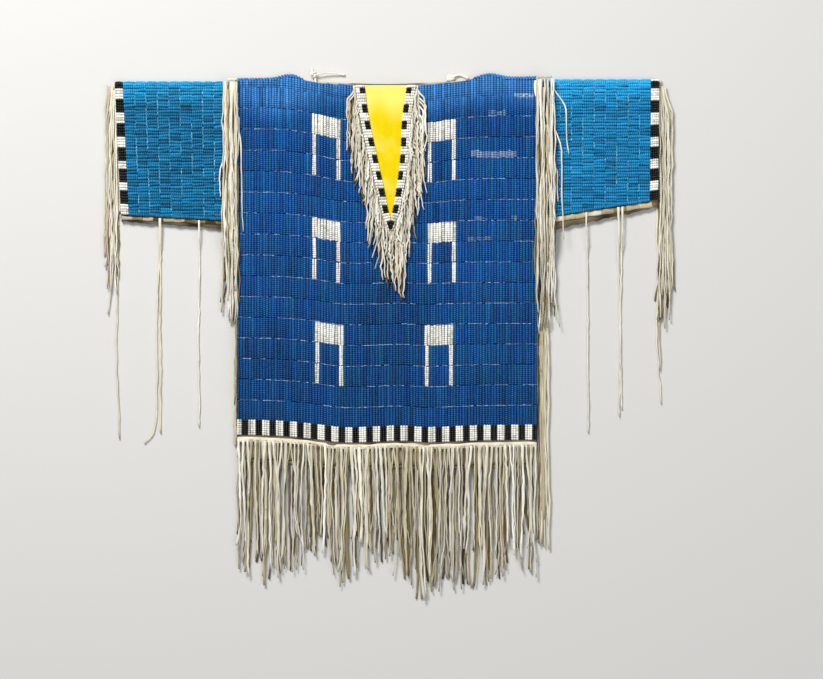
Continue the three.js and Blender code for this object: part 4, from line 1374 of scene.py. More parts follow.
    def _tones(self, rng: Generator, height: Array) -> Array:
        """Turquoises by string: a third of them deep, and most of those near the fold lighter as painted
        light.

        Args:
            rng: the seeded generator.
            height: each bead's share of the way up the front, with its string's beads along the last axis.

        Returns:
            Colours with full alpha.
        """
        per_string = height.shape[:-1] + (1,)
        light = self.bright + rng.normal(0, 0.12, per_string) + rng.normal(0, 0.06, height.shape)
        deep = np.clip(rng.normal(0.25, 0.4, per_string), 0, 1) + 0 * height
        colour = tinted(Glass.TURQUOISE.linear, Glass.DEEP.linear, deep, light)
        # Painted light: strings near the fold blend to sky blue, where light catches the fold; a few strings
        # elsewhere are lighter at random.
        near_fold = smooth((height - 0.8) / 0.2)
        bright = np.clip(0.9 * near_fold + np.abs(rng.normal(0, 0.22, per_string)) - 0.06, 0, 1)[..., None]
        colour[..., :3] = blend(colour[..., :3], Glass.SKY.linear * (1 + light[..., None]), bright)
        return colour

    def _lit_stitches(self, rng: Generator) -> Beads:
        """The sinew that shows between the upright lanes: short stitches from row to row, pale blue as painted
        highlights.
        """
        lane = np.arange(1, SLEEVE_LANES)[:, None]
        row = np.arange(self.rows)[None, :]
        run = np.sin(row / 4.1 + 2.3 * lane) + 0.7 * np.sin(row / 1.9 + 4.1 * lane) + row / self.rows
        shown = (run > 0.0) & (rng.uniform(0, 1, run.shape) < 0.88)
        v = (row[..., None] + 0.5 + np.array([-0.48, 0.48])) / self.rows
        x = self.cut.side.value * (SLEEVE_START + lane[..., None] * SLEEVE_PITCH)
        x = x + rng.normal(0, 0.12, (SLEEVE_LANES - 1, self.rows, 2))
        line = self.cut.point(x, np.clip(v, 0.012, 1.0), HIDE + 1.05, 0.0).reshape(-1, 2, 3)
        count = line.shape[0]
        # Painted highlight: the stitches run from mid blue to pale blue, standing for light along the lane
        # lines.
        colour = tinted(linear("#2a86b4"), linear("#8cc8e0"), rng.uniform(0, 1, count) ** 1.5,
                        rng.normal(0, 0.1, count))[:, None]
        return Beads.strung(line, rng.uniform(0.22, 0.4, (count, 1)), colour).kept(shown.ravel())

    def band(self) -> Piece:
        """The cuff's band: rows of four beads up to the fold and over it, white in the charted blocks."""
        rng = default_rng(self.seed + 7)
        side = self.cut.side.value
        rows, across = 48, 4
        front = (np.arange(rows) + 0.5) / rows
        v = np.concatenate([front, np.array([1.15, 1.42])])
        edges = np.linspace(0, 1, across + 1)
        x = side * (CUFF_START + 0.3 + edges[None, :] * (CUFF_BAND - 0.6)) + rng.normal(0, 0.06, (len(v), 1))
        rise = 0.3 + band_rise(edges)
        up = np.clip(np.broadcast_to(v[:, None], x.shape), 0.012, 2.0)
        line = self.cut.point(x, up, HIDE + rise - self.band_radius, 0.0)
        middle = line.mean(axis=1)[:, 1]
        white = np.zeros(len(v), bool)
        for top, low in self.whites:
            white |= (middle < top) & (middle > low)
        turn = np.clip(0.5 * (up[:, 1:] + up[:, :-1]) - 1.0, 0.0, 1.0) * pi
        above = xyz(0.0, np.sin(turn), np.cos(turn))
        light = rng.normal(0, 0.06, (len(v), 1)) + rng.normal(0, 0.05, (len(v), across))
        colour = pearl_and_jet(white[:, None], light)
        mesh = Beads.strung(line, np.full((len(v), across), self.band_radius), colour, above).mesh()
        return self.room.make(f"cuff_band_beads_{self.cut.side.word}", mesh, self.room.finish.glass)

    def edge(self, thongs: Rows) -> Piece:
        """The cut edge below the sleeve's beads, and the long thongs that hang from it.

        Args:
            thongs: how far out each has its root and hangs, how low, and its tail's swing.

        Returns:
            The edge and its thongs as one piece.
        """
        rng = default_rng(self.seed + 3)
        side = self.cut.side.value
        parts, wide = len(self.edge_tans), self.edge_wide
        starts = np.linspace(SLEEVE_START + 0.3, CUFF_START + 1.0, parts + 1)[:, None]
        lapped = starts[:-1] - 0.3 * (np.arange(parts) > 0)[:, None]
        x = side * blend(lapped, starts[1:], np.linspace(0, 1, 12))
        y = self.cut.front(x) - GAP - 0.4 - 0.5 * wide + 0.3 * np.sin(x / 3.1) * np.sin(x / 7.7)
        z = FRONT_INSIDE + 0.6 + 0.15 * np.sin(x / 4.3)
        width = wide + 0.5 * np.sin(x / 2.3) * np.sin(x / 9.1) + rng.normal(0, 0.12, x.shape)
        tint = np.concatenate([hide_tints(rng, {tan: 1.0}, 1) for tan in self.edge_tans])
        strip = Thongs(xyz(x, y, z), width, 1.0, 0.12 * np.sin(x / 5.0), tint).mesh()
        start, out, end, swing = (np.array(column) for column in zip(*thongs))

        def height(x: Array, y: Array, down: Array) -> Array:
            """Off the strip, level off the sleeve's back, then down on the table."""
            level = FRONT_INSIDE + 0.6 + 0.9 * (1.0 - smooth(down / 9.0))
            return blend(level, 0.9, smooth((self.cut.back_body - 3.0 - y) / 18.0))

        tint = hide_tints(rng, {Tan.IVORY: 0.6, Tan.CREAM: 0.4}, len(out))
        thong = Fringe(self.seed + 5, stations=44, run=110.0, sway=0.35, curl=0.0, twist=1.3, kink=0.16)
        hung = thong.hang(side * start, self.cut.front(side * start) - 1.0, side * out, end,
                          rng.normal(1.6, 0.15, len(out)), height, tint, side * swing)
        mesh = strip.plus(hung)
        return self.room.make(f"sleeve_edge_hide_{self.cut.side.word}", mesh, self.room.finish.fringe)


@dataclass
class Bib:
    """The pointed bib: its yellow hide, its band of beads and its fringe, all lying on the front's beads."""

    room: Workroom
    seed: int = 77
    count: int = 57
    radius: float = 1.26

    def hide(self) -> Piece:
        """The yellow hide: columns keep their distance from each edge under the band, and spread between."""
        y = np.linspace(BIB_TIP, BIB_TOP, 90)[None, :]
        left, right = (self.room.bib.edge(side, y) for side in (Side.LEFT, Side.RIGHT))
        near = np.array([0.0, 0.45, 2.5, 5.0, 6.3])[:, None] * np.minimum(1.0, 0.46 * (right - left) / 6.3)
        between = blend(left + near[-1], right - near[-1], np.linspace(0, 1, 15)[1:-1, None])
        x = np.concatenate([left + near, between, right - near[::-1]])
        y = np.broadcast_to(y, x.shape)
        sewn = smooth((self._depth(y) - 0.5 - np.minimum(x - left, right - x)) / 0.8)
        base = self.room.body.on_beads(x, y)
        ruck = 0.1 * np.sin(x / 5.1 + y / 13.0) + 0.08 * np.sin(y / 6.0)
        # The yellow is made paler towards the top of the bib.
        mesh = wall(xyz(x, y, base + HIDE + ruck), xyz(x, y, base),
                    {"sewn": sewn, "rubbed": 0.75 * smooth((y + 34.0 + 4.0 * np.sin(x / 4.0)) / 26.0)})
        return self.room.make("bib_hide", mesh, self.room.finish.yellow)

    @staticmethod
    def _depth(y: Array) -> Array:
        """The width of the band at a height: it narrows towards the tip."""
        return np.interp(y, [BIB_TIP, -108.0, -60.0, BIB_TOP], [3.6, 4.3, 6.1, 6.7])

    def band(self) -> Piece:
        """The band along both edges: strings of five beads inwards, with black squares inside."""
        rng = default_rng(self.seed)
        rows, across = 52, 5
        y = np.linspace(BIB_TOP - 1.0, BIB_TIP + 3.0, rows)
        middle = 0.5 * (self.room.bib.left[0] + self.room.bib.right[0])
        edges = np.linspace(0, 1, across + 1)
        parts = []
        for side in (Side.LEFT, Side.RIGHT):
            inward = -side.value
            rim = self.room.bib.edge(side, y) + inward * 0.3
            deep = rim + inward * self._depth(y)
            limit = middle - inward * 0.9 * smooth((y + 114.5) / 2.0)
            deep = np.where(inward > 0, np.minimum(deep, limit), np.maximum(deep, limit))
            x = blend(rim[:, None], deep[:, None], edges[None, :])
            fall = smooth((BIB_TIP + 24.0 - y) / 20.0)[:, None] * 1.4
            height = y[:, None] + fall * edges[None, :] + rng.normal(0, 0.07, (rows, 1))
            rise = 0.45 + band_rise(edges)
            z = self.room.body.on_beads(x, height) + HIDE + rise - 1.1
            line = xyz(x, height, z)
            square = np.mod(-y - 4.6, 13.6) < 6.0
            black = square[:, None] & (np.arange(across)[None, :] >= np.where(y > -84.0, 2, 1)[:, None])
            light = rng.normal(0, 0.06, (rows, 1)) + rng.normal(0, 0.05, (rows, across))
            radius = np.full((rows, across), self.radius)
            parts.append(Beads.strung(line, radius, pearl_and_jet(~black, light)).mesh())
        return self.room.make("bib_band_beads", parts[0].plus(parts[1]), self.room.finish.glass)

    def fringe(self) -> Piece:
        """The fringe: three layers of strands from both rims, and a few from the tip."""
        rng = default_rng(self.seed + 1)
        meshes = [self._strip(side) for side in (Side.LEFT, Side.RIGHT)]
        for side, count, step in ((Side.LEFT, self.count, 3), (Side.RIGHT, self.count + 13, 5)):
            share = np.linspace(0, 1, count) ** 1.2
            root_y = blend(BIB_TOP - 1.5, BIB_TIP + 2.0, share) + rng.normal(0, 0.6, count)
            rim = self.room.bib.edge(side, root_y) + side.value * 1.3
            layer = np.arange(count) % 3
            outer = 31.5 - 8.0 * share - 16.0 * smooth(2.0 * share - 1.0)
            if side is Side.LEFT:
                outer = blend(-33.0, -1.0, share)
            column = blend(rim, outer, rng.uniform(-0.1, 1.0, count))
            end = root_y - 45.0 + rng.normal(0, 6.0, count)
            meshes.append(self._strands(self.seed + step, rim, root_y, column, end, layer, rng))
        out = np.linspace(-3.6, 7.2, 12)
        root_y = np.full(len(out), BIB_TIP - 1.5)
        end = root_y - 40.0 - 10.0 * smooth((out + 3.0) / 8.0) + rng.normal(0, 2.0, len(out))
        meshes.append(self._strands(self.seed + 9, 2.9 + 0.25 * out, root_y, 6.5 + 1.2 * out, end,
                                    np.arange(len(out)) % 3, rng))
        for side in (Side.LEFT, Side.RIGHT):
            count = 26
            root_y = np.linspace(-5.0, BIB_TIP + 1.0, count) + rng.normal(0, 1.0, count)
            rim = self.room.bib.edge(side, root_y) + side.value * 1.0
            reach = np.linspace(1.6, 3.2, count)
            column = rim - side.value * reach * rng.uniform(0.0, 1.0, count)
            end = root_y - rng.uniform(16.0, 30.0, count)
            meshes.append(self._strands(self.seed + 12 + side.value, rim, root_y, column, end,
                                        np.full(count, 4), rng))
        return self.room.make("bib_fringe_hide", meshes[0].plus(*meshes[1:]), self.room.finish.fringe)

    def _strip(self, side: Side) -> Mesh:
        """The narrow strip along one rim that the strands are cut from."""
        y = np.linspace(BIB_TOP, BIB_TIP - 2.0, 50)
        x = self.room.bib.edge(side, y) + side.value * 1.2
        x = np.where(y < BIB_TIP, 2.9, x)
        z = self.room.body.on_beads(x, y) + 0.55
        return strip_of((x, y, z), 2.0, 1.1, one_tint(self.seed + 2, Tan.CREAM))

    def _strands(self, seed: int, root_x: Array, root_y: Array, column: Array,
                 end: Array, layer: Array, rng: Generator) -> Mesh:
        """Strands that lie on the front's beads, each in its own layer."""
        def height(x: Array, y: Array, down: Array) -> Array:
            """On the beads, rising to the strand's layer in the first few millimetres."""
            return self.room.body.on_beads(x, y) + 0.5 + 0.85 * layer[:, None] * smooth(down / 9.0)

        count = len(column)
        pale = hide_tints(rng, {Tan.IVORY: 0.55, Tan.CREAM: 0.3, Tan.GREY: 0.15}, count)
        # Painted shade: the lowest layer, and some of the next, take dark tints that stand for the shade
        # between the strands.
        dark = hide_tints(rng, {Tan.OLIVE: 0.2, Tan.BROWN: 0.4, Tan.UMBER: 0.4}, count)
        under = (layer == 0) | ((layer == 1) & (rng.uniform(0, 1, count) < 0.3))
        tint = np.where(under[:, None], dark, pale)
        strand = Fringe(seed, run=9.0, sway=0.8, curl=2.0, twist=1.2, kink=0.4)
        return strand.hang(root_x, root_y, column, end, rng.normal(1.2, 0.2, count), height, tint)


@dataclass
class HemFringe:
    """The fringe below the front's hem and the longer one below the back's."""

    room: Workroom
    reach_at: Row = (-120, -95, -82, -66, -51, -38, -23, -4, 14, 26, 40, 68, 84, 100, 116)
    reach_low: Row = (-392, -405, -396, -391, -377, -404, -391, -393, -400, -415, -408, -406,
                                    -401, -391, -398)
    seed: int = 19

    def front(self) -> Piece:
        """The front's fringe: a strip below the hem with two layers of strands."""
        rng = default_rng(self.seed)
        meshes = [self._strip(self.room.body.hem, 3.0, FRONT_INSIDE + HIDE - 0.1, 4.0, Tan.CREAM)]
        # The lower layer's tints run darker than the upper's, partly as painted shade under the upper strands.
        lower = {Tan.CREAM: 0.25, Tan.BUFF: 0.2, Tan.GREY: 0.25, Tan.OLIVE: 0.2, Tan.BROWN: 0.1}
        upper = {Tan.IVORY: 0.5, Tan.CREAM: 0.3, Tan.BUFF: 0.1, Tan.GREY: 0.1}
        for layer, count in ((0, 76), (1, 70)):
            x = np.linspace(-BODY_HALF + 1.4, BODY_HALF - 1.4, count) + rng.normal(0, 0.35, count)
            root = self.room.body.hem(x) + 1.4 - rng.uniform(0, 0.9, count)
            low = Curve(self.reach_at, self.reach_low)(x) + 34.0 * rng.uniform(0, 1, count) ** 1.5
            tint = hide_tints(rng, upper if layer else lower, count)
            rest = 2.5 + 1.1 * layer

            def height(x: Array, y: Array, down: Array) -> Array:
                """Off the strip, level over the back's hem, then down on what lies below."""
                level = FRONT_INSIDE + 0.6 + 0.9 * layer + (2.0 - 0.7 * layer) * (1.0 - smooth(down / 3.4))
                return blend(level, rest, smooth((down - 20.0) / SINK))

            strand = Fringe(self.seed + 3 + layer, stations=22, run=30.0, sway=0.85, curl=2.0, twist=0.9,
                            kink=0.2)
            width = np.clip(rng.normal(1.6, 0.5, count), 0.8, 3.0)
            meshes.append(strand.hang(x, root, x + rng.normal(0, 1.6, count), low, width, height, tint))
        return self.room.make("hem_fringe_front_hide", meshes[0].plus(*meshes[1:]), self.room.finish.fringe)

    def back(self) -> Piece:
        """The back's fringe: strands that lie on the table, darker as painted shade under the front's fringe.
        """
        rng = default_rng(self.seed + 11)

        def line(x: Array) -> Array:
            """The back's hem."""
            return self.room.body.hem(x) - BACK_EXTRA

        count = 72
        x = np.linspace(-BODY_HALF + 1.6, BODY_HALF - 1.6, count) + rng.normal(0, 0.4, count)
        low = Curve(self.reach_at, self.reach_low)(x) + 34.0 * rng.uniform(0, 1, count) ** 1.3
        # Painted shade: the back's strands and their strip are tinted darker for the shade under the front's
        # fringe.
        tint = hide_tints(rng, {Tan.GREY: 0.2, Tan.OLIVE: 0.3, Tan.BROWN: 0.3, Tan.UMBER: 0.2}, count)
        column = np.clip(x + rng.normal(0, 1.2, count), 3.0 - BODY_HALF, BODY_HALF - 3.0)
        strand = Fringe(self.seed + 13, stations=18, run=30.0, sway=0.8, curl=1.4, twist=0.6, kink=0.2)
        strands = strand.hang(x, line(x) - 3.0, column, low, rng.normal(2.0, 0.35, count),
                              lambda x, y, down: 0.6 + 0 * y, tint)
        mesh = self._strip(line, 0.0, 0.4, 3.0, Tan.OLIVE).plus(strands)
        return self.room.make("hem_fringe_back_hide", mesh, self.room.finish.fringe)

    def _strip(self, line: Callable[[Array], Array], up: float, lift: float, wide: float, tan: Tan) -> Mesh:
        """The strip that the strands are cut from.

        Args:
            line: the hem line, as a function of X.
            up: how far the strip's middle lies above its place below the hem.
            lift: the height of its underside.
            wide: its width.
            tan: its colour.

        Returns:
            The strip, with edges that wander a little.
        """
        x = np.linspace(-BODY_HALF + 0.3, BODY_HALF - 0.3, 110)
        y = line(x) - GAP - 1.5 + up + 0.2 * np.sin(x / 3.3) * np.sin(x / 8.0)
        z = lift + 0.6 + 0.12 * np.sin(x / 6.0)
        width = wide + 0.5 * np.sin(x / 2.7) * np.sin(x / 11.0)
        return strip_of((x, y, z), width, 0.9, one_tint(self.seed + 2, tan), 0.12 * np.sin(x / 4.0))


@dataclass
class ArmholeFringe:
    """The fringe that is sewn over one armhole's seam and hangs down beside the body.

    Each stray strand has its root's column and height, the column that it hangs at, and its end's height.
    """

    room: Workroom
    side: Side
    top: float
    low: float
    longest: float
    rest: float
    inner: float
    outer: float
    strays: Rows
    seed: int
    bottom: float = -104.0
    seam: float = 120.4
    layers: int = 4
    abreast: int = 9
    steps: Row = (62.0, 34.0, 1.0, 0.0)
    patch: bool = False

    def make(self) -> Piece:
        """The strip with its strands, the outermost from the highest roots, and the fold at its top."""
        rng = default_rng(self.seed)
        base = FRONT_INSIDE + OVER_BEADS
        count = self.abreast * self.layers
        layer, place = in_layers(rng, self.layers, self.abreast, 0.025)
        out = blend(self.inner, self.outer, place)
        stepped = np.array(self.steps)[layer] + (1.0 - place) * 4.0 + rng.uniform(0, 5, count)
        root_y = np.maximum(self.top - 2.6 - np.where(layer == self.layers - 1, 0.0, stepped), self.bottom)
        end = self.low + 8.0 * place + 32.0 * rng.uniform(0, 1, count) ** 1.5 + np.where(layer < 2, 7.0, 0.0)
        end[1] = self.longest
        lie = np.where(out < 121.2, base, self.rest)
        pale = hide_tints(rng, {Tan.IVORY: 0.55, Tan.CREAM: 0.37, Tan.BUFF: 0.05, Tan.GREY: 0.03}, count)
        # Painted shade: the two lower layers, and a few others, take dark tints that stand for the shade
        # between the strands.
        dark = hide_tints(rng, {Tan.BUFF: 0.35, Tan.OLIVE: 0.3, Tan.BROWN: 0.2, Tan.UMBER: 0.15}, count)
        tint = np.where((layer < 2)[:, None] | (rng.uniform(0, 1, (count, 1)) < 0.1), dark, pale)
        side = self.side.value
        column = side * (out + rng.normal(0, 0.7, count))
        strand = Fringe(self.seed + 1, stations=24, run=40.0, sway=0.55, curl=1.8, twist=1.2, kink=0.34)
        width = np.clip(rng.normal(1.32, 0.24, count), 0.9, 2.0)
        strands = strand.hang(side * out, root_y, column, end, width, self._height(base, lie, layer), tint)
        mesh = self._strip(base).plus(self._fold(base), strands, self._strays(base, rng))
        if self.patch:
            mesh = mesh.plus(self._patch(base))
        return self.room.make(f"armhole_fringe_hide_{self.side.word}", mesh, self.room.finish.fringe)

    @staticmethod
    def _height(base: float, lie: Array, layer: Array) -> Height:
        """The height of strands that lie on the beads, and off the body sink to what lies there.

        Args:
            base: the height on the beads.
            lie: the height that each strand sinks to.
            layer: how many strands each lies above.

        Returns:
            A function of X, Y and the way down. A strand sinks from 20 mm below the armhole.
        """
        def height(x: Array, y: Array, down: Array) -> Array:
            """The strands' height."""
            rest = blend(base, lie[:, None], smooth((-124.0 - y) / SINK))
            return rest + 0.45 + 0.7 * layer[:, None] + 0 * x

        return height

    def _strays(self, base: float, rng: Generator) -> Mesh:
        """The few thin strands that stray from the rest and lie on the beads."""
        start, root_y, column, end = (np.array(values) for values in zip(*self.strays))
        count = len(start)
        side = self.side.value
        tint = hide_tints(rng, {Tan.IVORY: 1.0}, count)
        strand = Fringe(self.seed + 6, stations=16, run=26.0, sway=0.3, curl=1.0, thick=0.6, twist=0.9,
                        kink=0.15)
        height = self._height(base - 0.3, np.full(count, base - 0.3), np.ones(count))
        return strand.hang(side * start, root_y, side * column, end, np.full(count, 1.15), height, tint)

    def _strip(self, base: float) -> Mesh:
        """The strip over the seam."""
        y = np.linspace(self.top, self.bottom, 50)
        x = self.side.value * self.seam + 0.15 * np.sin(y / 5.0)
        return strip_of((x, y, base + 0.6), 2.6, 1.2, one_tint(self.seed + 2, Tan.BUFF))

    def _fold(self, base: float) -> Mesh:
        """The fold across the top, from which the upper strands are cut."""
        x = self.side.value * np.linspace(self.inner + 0.4, self.outer - 2.4, 17)
        y = self.top - 1.1 + 0.25 * np.sin(1.4 * np.arange(17))
        width = 1.9 + 0.4 * np.sin(2.3 * np.arange(17))
        tint = one_tint(self.seed + 4, Tan.CREAM)
        z = base + 0.4 + 0.7 * self.layers
        return strip_of((x, y, z), width, 1.0, tint, 0.3 * np.sin(np.arange(17)))

    def _patch(self, base: float) -> Mesh:
        """The bare end of hide that lies on the beads beside the fringe's top."""
        y = np.linspace(0.8, -12.0, 12)
        x = self.side.value * 119.4 + 0.3 * np.sin(y / 2.0)
        width = np.interp(y, [-12.0, -9.0, 0.8], [2.4, 4.0, 3.4])
        return strip_of((x, y, base + 0.3), width, 0.9, one_tint(self.seed + 8, Tan.IVORY))


@dataclass
class CuffFringe:
    """The fringe along one cuff, cut from a strip beyond the band."""

    room: Workroom
    cut: SleeveCut
    bottom: float
    low: float
    longest: float
    reach: float
    seed: int
    layers: int = 4
    abreast: int = 7
    steps: Row = (64.0, 34.0, 3.0, 0.0)
    spread: float = 0.75
    second: float = -186.0
    drift: float = 2.8

    def make(self) -> Piece:
        """The strip with its strands, the outermost from the highest roots, lying on the table."""
        rng = default_rng(self.seed)
        side = self.cut.side.value
        top = self.cut.top - 3.0
        count = self.abreast * self.layers
        layer, place = in_layers(rng, self.layers, self.abreast, 0.03)
        stepped = np.array(self.steps)[layer] + (1.0 - place) * 2.0 + rng.uniform(0, 3, count)
        root_y = np.maximum(top - stepped, self.bottom + 2.0)
        root_x = self._strip_out(root_y) + self.spread * self.reach * place - 2.2
        out = root_x + (1.0 - self.spread) * self.reach * place + rng.normal(0, 0.5, count)
        end = self.low + 10.0 * place + 30.0 * rng.uniform(0, 1, count) ** 1.4 + np.where(layer < 2, 7.0, 0.0)
        end[0] = self.longest
        end[self.abreast] = self.second
        out[[0, self.abreast]] += self.drift

        def height(x: Array, y: Array, down: Array) -> Array:
            """On the table, in the strand's own layer."""
            return 0.6 + 0.75 * layer[:, None] + 0 * y

        pale = hide_tints(rng, {Tan.IVORY: 0.45, Tan.CREAM: 0.33, Tan.BUFF: 0.12, Tan.GREY: 0.1}, count)
        # Painted shade: the two lower layers, and a few others, take dark tints that stand for the shade
        # between the strands.
        dark = hide_tints(rng, {Tan.BUFF: 0.2, Tan.OLIVE: 0.3, Tan.BROWN: 0.3, Tan.UMBER: 0.2}, count)
        tint = np.where((layer < 2)[:, None] | (rng.uniform(0, 1, (count, 1)) < 0.12), dark, pale)
        tint[[0, self.abreast]] = hide_tints(rng, {Tan.CREAM: 0.6, Tan.GREY: 0.4}, 2)
        strand = Fringe(self.seed + 1, stations=24, run=26.0, sway=0.6, curl=2.2, twist=1.2, kink=0.34)
        width = np.clip(rng.normal(1.35, 0.24, count), 0.9, 2.0)
        strands = strand.hang(side * root_x, root_y, side * out, end, width, height, tint)
        y = np.linspace(top + 2.0, self.bottom, 50)
        strip = strip_of((side * self._strip_out(y), y, 1.0), 2.2, 1.2, hide_tints(rng, {Tan.CREAM: 1.0}, 1))
        name = f"cuff_fringe_hide_{self.cut.side.word}"
        return self.room.make(name, strip.plus(strands), self.room.finish.fringe)

    def _strip_out(self, y: Array) -> Array:
        """How far out the strip lies at a height, along the cuff's slant."""
        share = np.clip(y / self.bottom, 0.0, 1.0)
        return SLEEVE_END + 1.3 - self.cut.slant * share


@dataclass
class SideStrip:
    """The cut edge of hide that shows beside the body, ragged and with a few strands cut in it."""

    room: Workroom
    side: Side
    width: float
    top: float
    low: float
    seed: int

    def make(self) -> Piece:
        """A flat strip whose outer edge wanders, with thin strands lying on it and below it."""
        rng = default_rng(self.seed)
        side = self.side.value
        y = np.linspace(self.top, self.low, 70)
        share = np.linspace(0, 1, 70)
        wide = self.width * np.clip(0.45 + 5 * share, 0, 1) * blend(1.0, 0.6, smooth((share - 0.85) / 0.15))
        wide = wide * (0.92 + 0.08 * np.sin(y / 5.3) * np.sin(y / 2.1 + 1.0))
        x = side * (SLEEVE_START + 0.5 * wide)
        strip = strip_of((x, y, 0.75), wide, 1.4, hide_tints(rng, {Tan.BUFF: 1.0}, 1))
        count = 12 if self.width > 4 else 3
        out = SLEEVE_START + np.linspace(0.06, 0.97, count) * self.width
        root_y = self.top - rng.uniform(2, 46, count)
        end = self.low - 7.0 + 62.0 * rng.uniform(0, 1, count) ** 2
        over = 1.65 + 0.6 * (np.arange(count)[:, None] % 2)
        shares = {Tan.CREAM: 0.42, Tan.IVORY: 0.28, Tan.BUFF: 0.15, Tan.OLIVE: 0.1, Tan.BROWN: 0.05}
        strand = Fringe(self.seed + 1, stations=26, run=10.0, sway=0.45, curl=1.0, thick=0.6, twist=0.4)
        width = np.clip(rng.normal(1.5, 0.4, count), 0.8, 2.4)
        strands = strand.hang(side * out, root_y, side * out, end, width, lambda x, y, down: over + 0 * y,
                              hide_tints(rng, shares, count))
        name = f"side_strip_hide_{self.side.word}"
        return self.room.make(name, strip.plus(strands), self.room.finish.fringe)


@dataclass
class ShoulderTies:
    """The ties at the shoulders: a knot with a stub and a tail, and a flat loop."""

    room: Workroom
    seed: int = 5
    knot_width: Rows = ((0, 0.03, 0.06, 0.25, 0.9, 1), (1.9, 1.7, 0.95, 1.3, 1.5, 1.0))
    flap_width: Row = (4.4, 5.2, 5.6, 5.4, 5.0, 4.8, 4.0, 2.6)

    def knot(self) -> Piece:
        """A thong that runs in from its tail, through a round knot and out to its stub."""
        x0, y0 = -58.9, 6.4
        turn = np.linspace(0, 2 * pi, 46)
        tied = np.stack([
            x0 + (np.sin(turn) + 2.0 * np.sin(2 * turn)) * 0.85,
            y0 + (np.cos(turn) - 2.0 * np.cos(2 * turn)) * 0.75,
            3.0 - 1.1 * np.sin(3 * turn),
        ], axis=-1)
        share = np.linspace(0, 1, 22)[:, None]
        tail = blend(np.array([-33.8, 6.1, 0.9]), tied[0], share) + np.array([0.0, 1.5, 0.9]) * np.sin(
            pi * share)
        stub = blend(tied[-1], np.array([x0 - 1.4, 11.6, 1.8]), share[:12] / share[11])
        path = np.concatenate([tail[:-1], tied, stub[1:]])
        width = np.interp(np.linspace(0, 1, len(path)), *self.knot_width)
        tint = one_tint(self.seed, Tan.IVORY)
        mesh = strip_of(tuple(path.T), width, 1.0, tint)
        share = np.linspace(0, 1, 8)[:, None]
        neck = blend(np.array([x0 + 1.2, y0 - 1.2, 2.4]), np.array([x0 + 1.8, -0.6, 3.4]), share)
        mesh = mesh.plus(strip_of(tuple(neck.T), 1.6, 0.9, tint))
        return self.room.make("shoulder_tie_hide_left", mesh, self.room.finish.fringe)

    def loop(self) -> Piece:
        """A flat thong in one low arch over the neck's edge, with a broad flap at its inner end."""
        share = np.linspace(0, 1, 40)
        x = blend(50.0, 65.0, share)
        y = 3.1 + 3.0 * np.sin(pi * share)
        z = 1.0 + 0.5 * np.sin(2 * pi * share)
        tint = one_tint(self.seed + 1, Tan.IVORY)
        mesh = strip_of((x, y, z), 2.2 + 0.2 * np.sin(9 * share), 1.1, tint, 0.2 * np.sin(6 * share))
        mesh = mesh.plus(strip_of((np.linspace(47.4, 54.2, 8), 3.9, 1.5), self.flap_width, 1.0, tint))
        return self.room.make("shoulder_tie_hide_right", mesh, self.room.finish.fringe)


@dataclass
class Studio:
    """The floor, the soft lights and the camera above the shirt."""

    place: Placing
    scale: float = 0.8
    photo: tuple[int, int] = (823, 679)
    centre: tuple[float, float] = (411.5, 339.5)
    origin: tuple[float, float] = (387.0, 82.0)
    lens: float = 100.0
    floor_half: float = 3.0
    floor_height: float = -0.0003

    def floor(self) -> Piece:
        """A pale plane a hair below the shirt."""
        turns = ((-1, -1), (1, -1), (1, 1), (-1, 1))
        corners = [(x * self.floor_half, y * self.floor_half, self.floor_height) for x, y in turns]
        data = bpy.data.meshes.new("floor")
        data.from_pydata(corners, [], [(0, 1, 2, 3)])
        data.materials.append(Floor().material())
        floor = bpy.data.objects.new("floor", data)
        bpy.context.scene.collection.objects.link(floor)
        floor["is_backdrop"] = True
        return floor

    def camera(self) -> Piece:
        """A camera that looks straight down at the photograph's middle, far enough to frame its width."""
        x = (self.centre[0] - self.origin[0]) * self.scale
        y = (self.origin[1] - self.centre[1]) * self.scale
        spot = self.place.metres(np.array([x, y, 5.0]))
        data = bpy.data.cameras.new("camera")
        data.lens = self.lens
        data.sensor_width = 36.0
        width = self.photo[0] * self.scale / 1000.0
        far = width * self.lens / data.sensor_width
        camera = bpy.data.objects.new("camera", data)
        camera.location = (spot[0], spot[1], spot[2] + far)
        bpy.context.scene.collection.objects.link(camera)
        bpy.context.scene.camera = camera
        return camera

    def lights(self) -> None:
        """A large soft light from the shoulders' left, a weaker one opposite, a pale sky and plain tones."""
        bpy.context.scene.view_settings.view_transform = "Standard"
        for name, spot, size, power in (
            ("key", (-0.6, 1.15, 1.25), 0.7, 34.0),
            ("fill", (0.9, -0.5, 1.6), 1.6, 8.0),
        ):
            data = bpy.data.lights.new(name, "AREA")
            data.shape = "DISK"
            data.size = size
            data.energy = power
            light = bpy.data.objects.new(name, data)
            light.location = spot
            facing = -np.array(spot)
            light.rotation_euler = (acos(-facing[2] / np.linalg.norm(facing)), 0.0,
                                    atan2(facing[1], facing[0]) - pi / 2)
            bpy.context.scene.collection.objects.link(light)
        world = bpy.data.worlds.new("sky")
        bpy.context.scene.world = world
        world.use_nodes = True
        tree = world.node_tree
        tree.nodes.clear()
        sky = add_node(tree, "Background", {"Color": (0.9, 0.93, 1.0, 1.0), "Strength": 0.32})
        add_node(tree, "OutputWorld", {"Surface": sky.outputs[0]})


def dress(piece: Piece, node: str) -> None:
    """Hides the solid that a piece stands for."""
    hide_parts(node)


